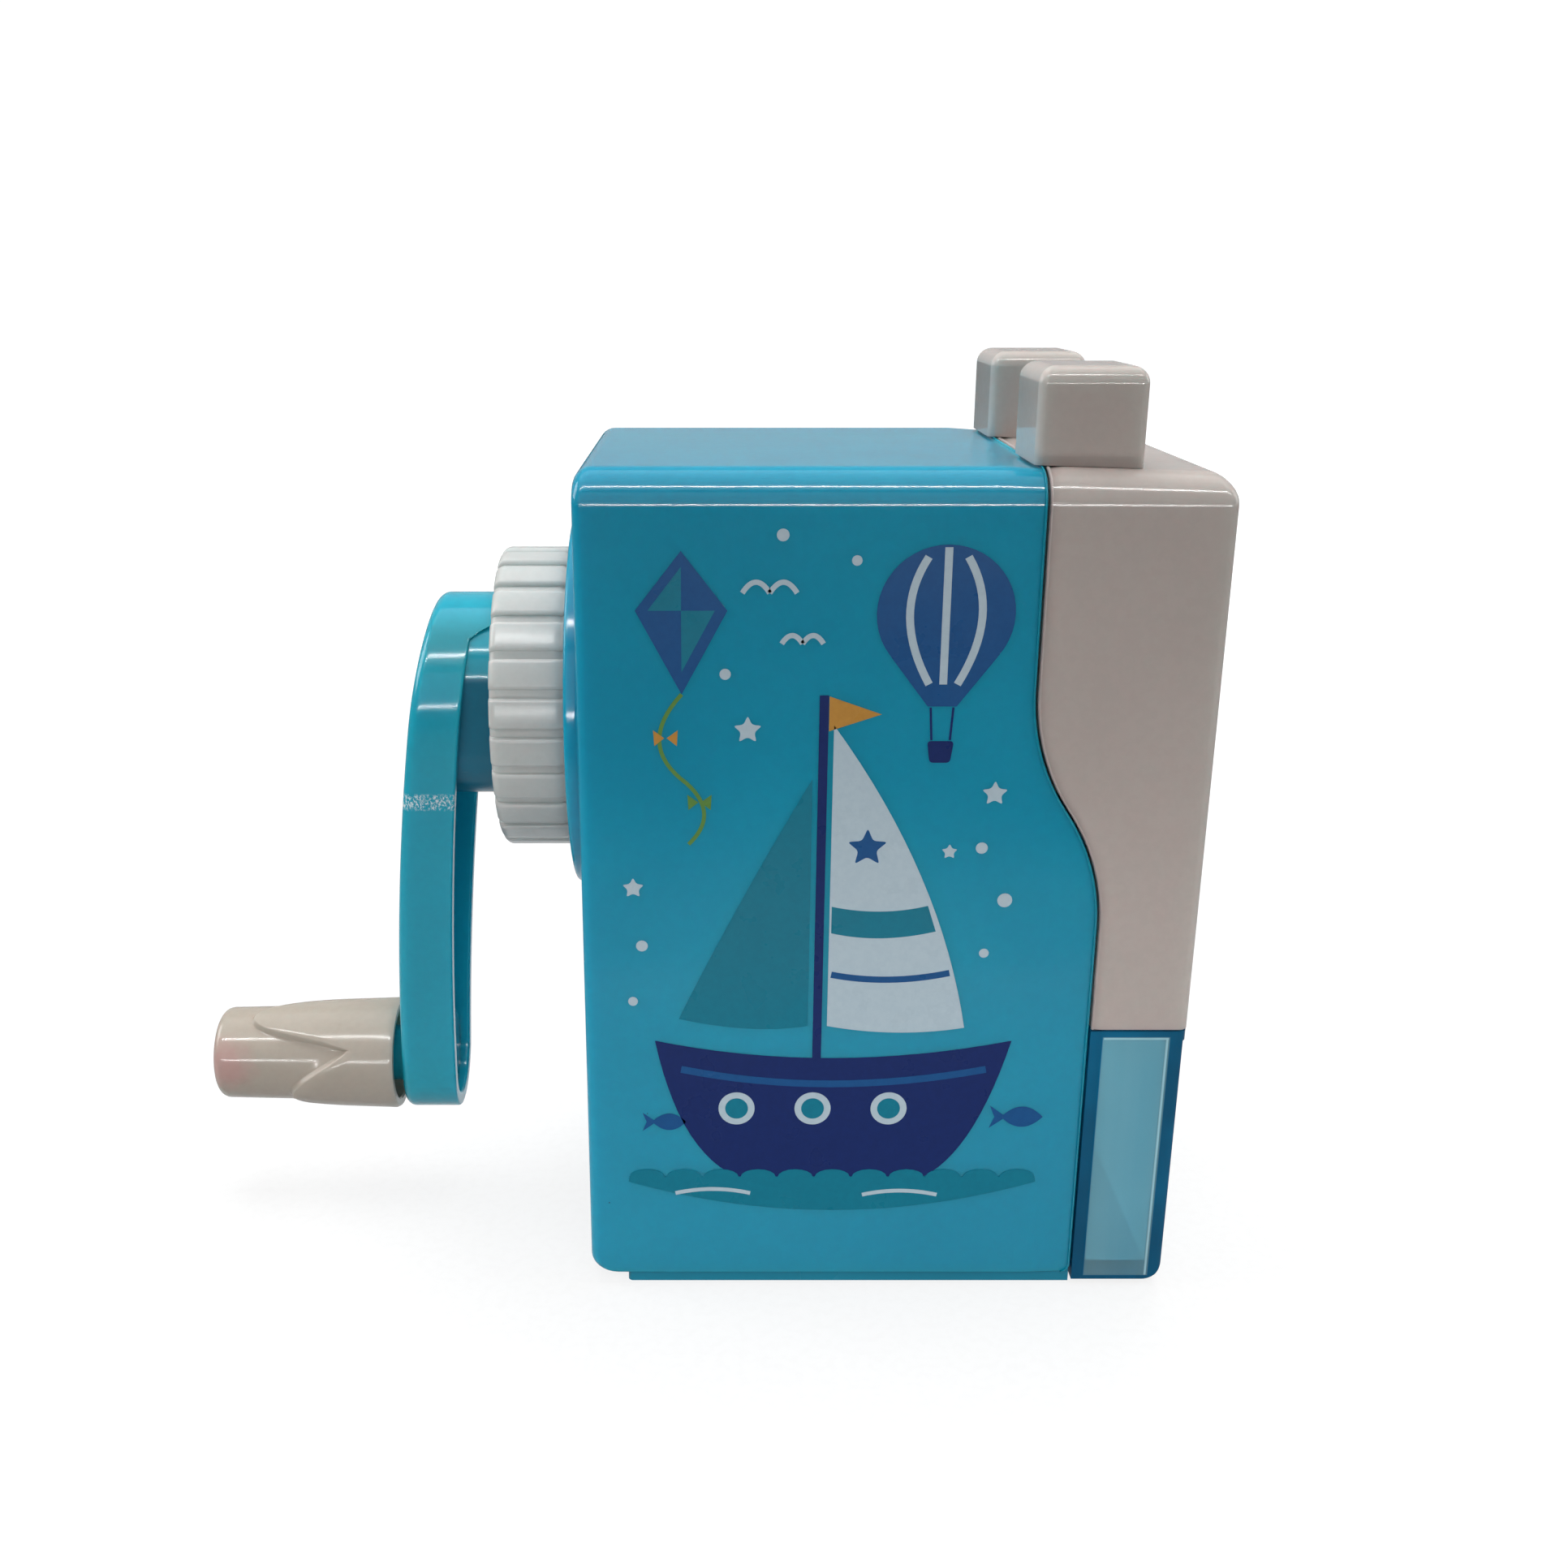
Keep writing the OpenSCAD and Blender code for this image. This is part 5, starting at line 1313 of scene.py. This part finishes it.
def coil(name, start, axis, length, radius, wire, turns, body, node):
    """A helical spring along its axis, attached to the body that carries it."""
    shape = Shape()
    axis = Vector(axis)
    side = axis.orthogonal().normalized()
    other = axis.cross(side)
    total = COIL_STEPS * turns
    rings = []
    for k in range(total + 1):
        a = math.tau * k / COIL_STEPS
        out = side * math.cos(a) + other * math.sin(a)
        centre = Vector(start) + out * radius + axis * (wire + (length - 2 * wire) * k / total)
        rings.append(shape.ring([tuple(centre + (out * math.cos(b) + axis * math.sin(b)) * wire)
                                 for b in (math.tau * i / WIRE_SIDES for i in range(WIRE_SIDES))]))
    shape.loft(rings)
    shape.cap(rings[0])
    shape.cap(rings[-1])
    piece = shape.build(name)
    dress(piece, body, "spring_steel", MATERIALS["spring"])
    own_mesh(piece)
    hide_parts(node)


def feed_springs():
    low, high = box_mm("feed_springs")
    z = (low.z + high.z) / 2
    for side, name in ((-1, "near_feed_spring"), (1, "far_feed_spring")):
        y = side * (high.y - 2.5)
        start, length = (low.x + COIL_SEAT, y, z), high.x - low.x - COIL_SEAT
        coil(name, start, (1, 0, 0), length, FEED_COIL_R, FEED_WIRE_R, 11,
             "housing", "feed_springs")


def jaw_springs():
    for side, word in ((-1, "near"), (1, "far")):
        name = word + "_spring"
        low, high = box_mm(name)
        start = ((low.x + high.x) / 2, side * JAW_START, (low.z + high.z) / 2)
        length = high.y - low.y
        coil(name + "_coil", start, (0, side, 0), length, JAW_COIL_R, JAW_WIRE_R, 6,
             "carriage", name)


# ---- Floor, lights and camera ----
FLOOR_REACH = 4000.0
FLOOR_GLOW = 0.82
WORLD_LEVEL = 0.05
WORLD_SEEN = (("Is Camera Ray", 1.0), ("Is Transmission Ray", 0.8), ("Is Glossy Ray", 0.36))
MIDDLE = (0.0, 0.0, 0.05)
# name, place, target and size in metres, power in watts, and whether it lights surfaces, is only
# seen as a reflection, or both
LIGHTS = (
    ("front_soft", (0.0, -0.55, 0.62), MIDDLE, (0.8, 0.25), 1.9, "lights"),
    ("overhead_soft", (0.0, 0.2, 0.9), MIDDLE, (0.7, 0.6), 7.6, "lights"),
    ("left_soft", (-0.8, 0.1, 0.45), MIDDLE, (0.5, 0.5), 4.0, "both"),
    ("right_soft", (0.85, 0.1, 0.4), MIDDLE, (0.5, 0.5), 2.2, "both"),
    ("rear_soft", (0.2, 0.9, 0.5), MIDDLE, (0.7, 0.4), 2.0, "lights"),
    ("low_front", (0.0, -0.105, 0.01), (0.0, 0.0, 0.012), (0.4, 0.016), 0.095, "lights"),
    ("high_strip", (0.0, -0.43, 0.76), MIDDLE, (1.1, 0.025), 6.0, "reflects"),
    ("level_strip", (0.0, -0.95, 0.115), (0.0, 0.0, 0.085), (1.1, 0.02), 4.6, "reflects"),
    ("overhead_card", (0.0, -0.05, 1.0), MIDDLE, (1.6, 1.5), 10.0, "reflects"),
    ("front_card", (0.0, -1.2, 0.52), MIDDLE, (2.2, 0.9), 5.2, "reflects"),
)


def stage():
    """A wide pale floor that fades into the white background with distance."""
    shape = Shape()
    corners = ((-1, -1), (1, -1), (1, 1), (-1, 1))
    shape.cap(shape.ring([(x * FLOOR_REACH, y * FLOOR_REACH, 0.0) for x, y in corners]))
    floor = shape.build_plain("floor", 60.0)
    nodes = Nodes("floor_paper")
    fibre = nodes.remap(nodes.noise(900.0, 2.0), 0.35, 0.65)
    nodes.set("Base Color", nodes.mix(fibre, linear(118, 118, 118), linear(112, 112, 112)))
    nodes.set("Roughness", 0.9)
    nodes.set("Specular IOR Level", 0.1)
    path = nodes.add("ShaderNodeLightPath").outputs
    seen = nodes.highest(path["Is Camera Ray"], path["Is Transmission Ray"])
    distance = nodes.add("ShaderNodeVectorMath", {0: nodes.coords}, operation="LENGTH").outputs["Value"]
    seen = nodes.times(seen, nodes.remap(distance, 0.06, 0.5, FLOOR_GLOW, 1.0))
    # painted reflection: near the object the floor glows for glossy rays only, a glow that is no lamp, seen
    # as a bright floor in the object's reflections
    reflected_floor_glow = nodes.times(path["Is Glossy Ray"], nodes.remap(distance, 0.03, 0.22, 0.6, 0.0))
    nodes.set("Emission Strength", nodes.math("ADD", seen, reflected_floor_glow))
    nodes.set("Emission Color", (1, 1, 1, 1))
    floor.data.materials.append(nodes.material)


def world():
    """An even dim surround that the camera sees as white."""
    studio = bpy.data.worlds.new("studio")
    studio.use_nodes = True
    bpy.context.scene.world = studio
    tree = studio.node_tree
    path = tree.nodes.new("ShaderNodeLightPath")
    total = None
    for output, share in WORLD_SEEN:
        part = tree.nodes.new("ShaderNodeMath")
        part.operation = "MULTIPLY_ADD"
        tree.links.new(path.outputs[output], part.inputs[0])
        part.inputs[1].default_value = share
        part.inputs[2].default_value = WORLD_LEVEL
        if total is not None:
            tree.links.new(total, part.inputs[2])
        total = part.outputs[0]
    background = tree.nodes["Background"]
    tree.links.new(total, background.inputs["Strength"])
    background.inputs["Color"].default_value = (1, 1, 1, 1)


def lights():
    """Soft boxes light the surfaces; strips and cards give them their highlights."""
    for name, place, target, size, power, task in LIGHTS:
        lamp = bpy.data.lights.new(name, "AREA")
        lamp.shape = "RECTANGLE"
        lamp.size, lamp.size_y = size
        lamp.energy = power
        holder = bpy.data.objects.new(name, lamp)
        bpy.context.scene.collection.objects.link(holder)
        holder.location = Vector(place)
        holder.rotation_mode = "QUATERNION"
        holder.rotation_quaternion = (Vector(target) - Vector(place)).to_track_quat("-Z", "Y")
        holder.visible_camera = False
        holder.visible_glossy = task != "lights"
        holder.visible_diffuse = task != "reflects"


CAMERA_PLACE = (-17.85, -170.25, 105.6)
CAMERA_PITCH = 18.0
CAMERA_LENS = 36.35
CAMERA_SHIFT_X = 0.0445


def camera():
    lens = bpy.data.cameras.new("camera")
    lens.sensor_width = 36.0
    lens.lens = CAMERA_LENS
    lens.shift_x = CAMERA_SHIFT_X
    lens.clip_start = 0.01
    holder = bpy.data.objects.new("camera", lens)
    bpy.context.scene.collection.objects.link(holder)
    holder.location = Vector(CAMERA_PLACE) * MM
    holder.rotation_euler = (math.radians(90 - CAMERA_PITCH), 0.0, 0.0)
    bpy.context.scene.camera = holder


camera()
world()
lights()
stage()
main_body()
front_cover()
squeeze_tab("near")
squeeze_tab("far")
print_on_sides()
knurled_collar()
crank_arm()
grip()
feed_springs()
jaw_springs()
carried_nodes()
bpy.context.scene.view_settings.view_transform = "Standard"
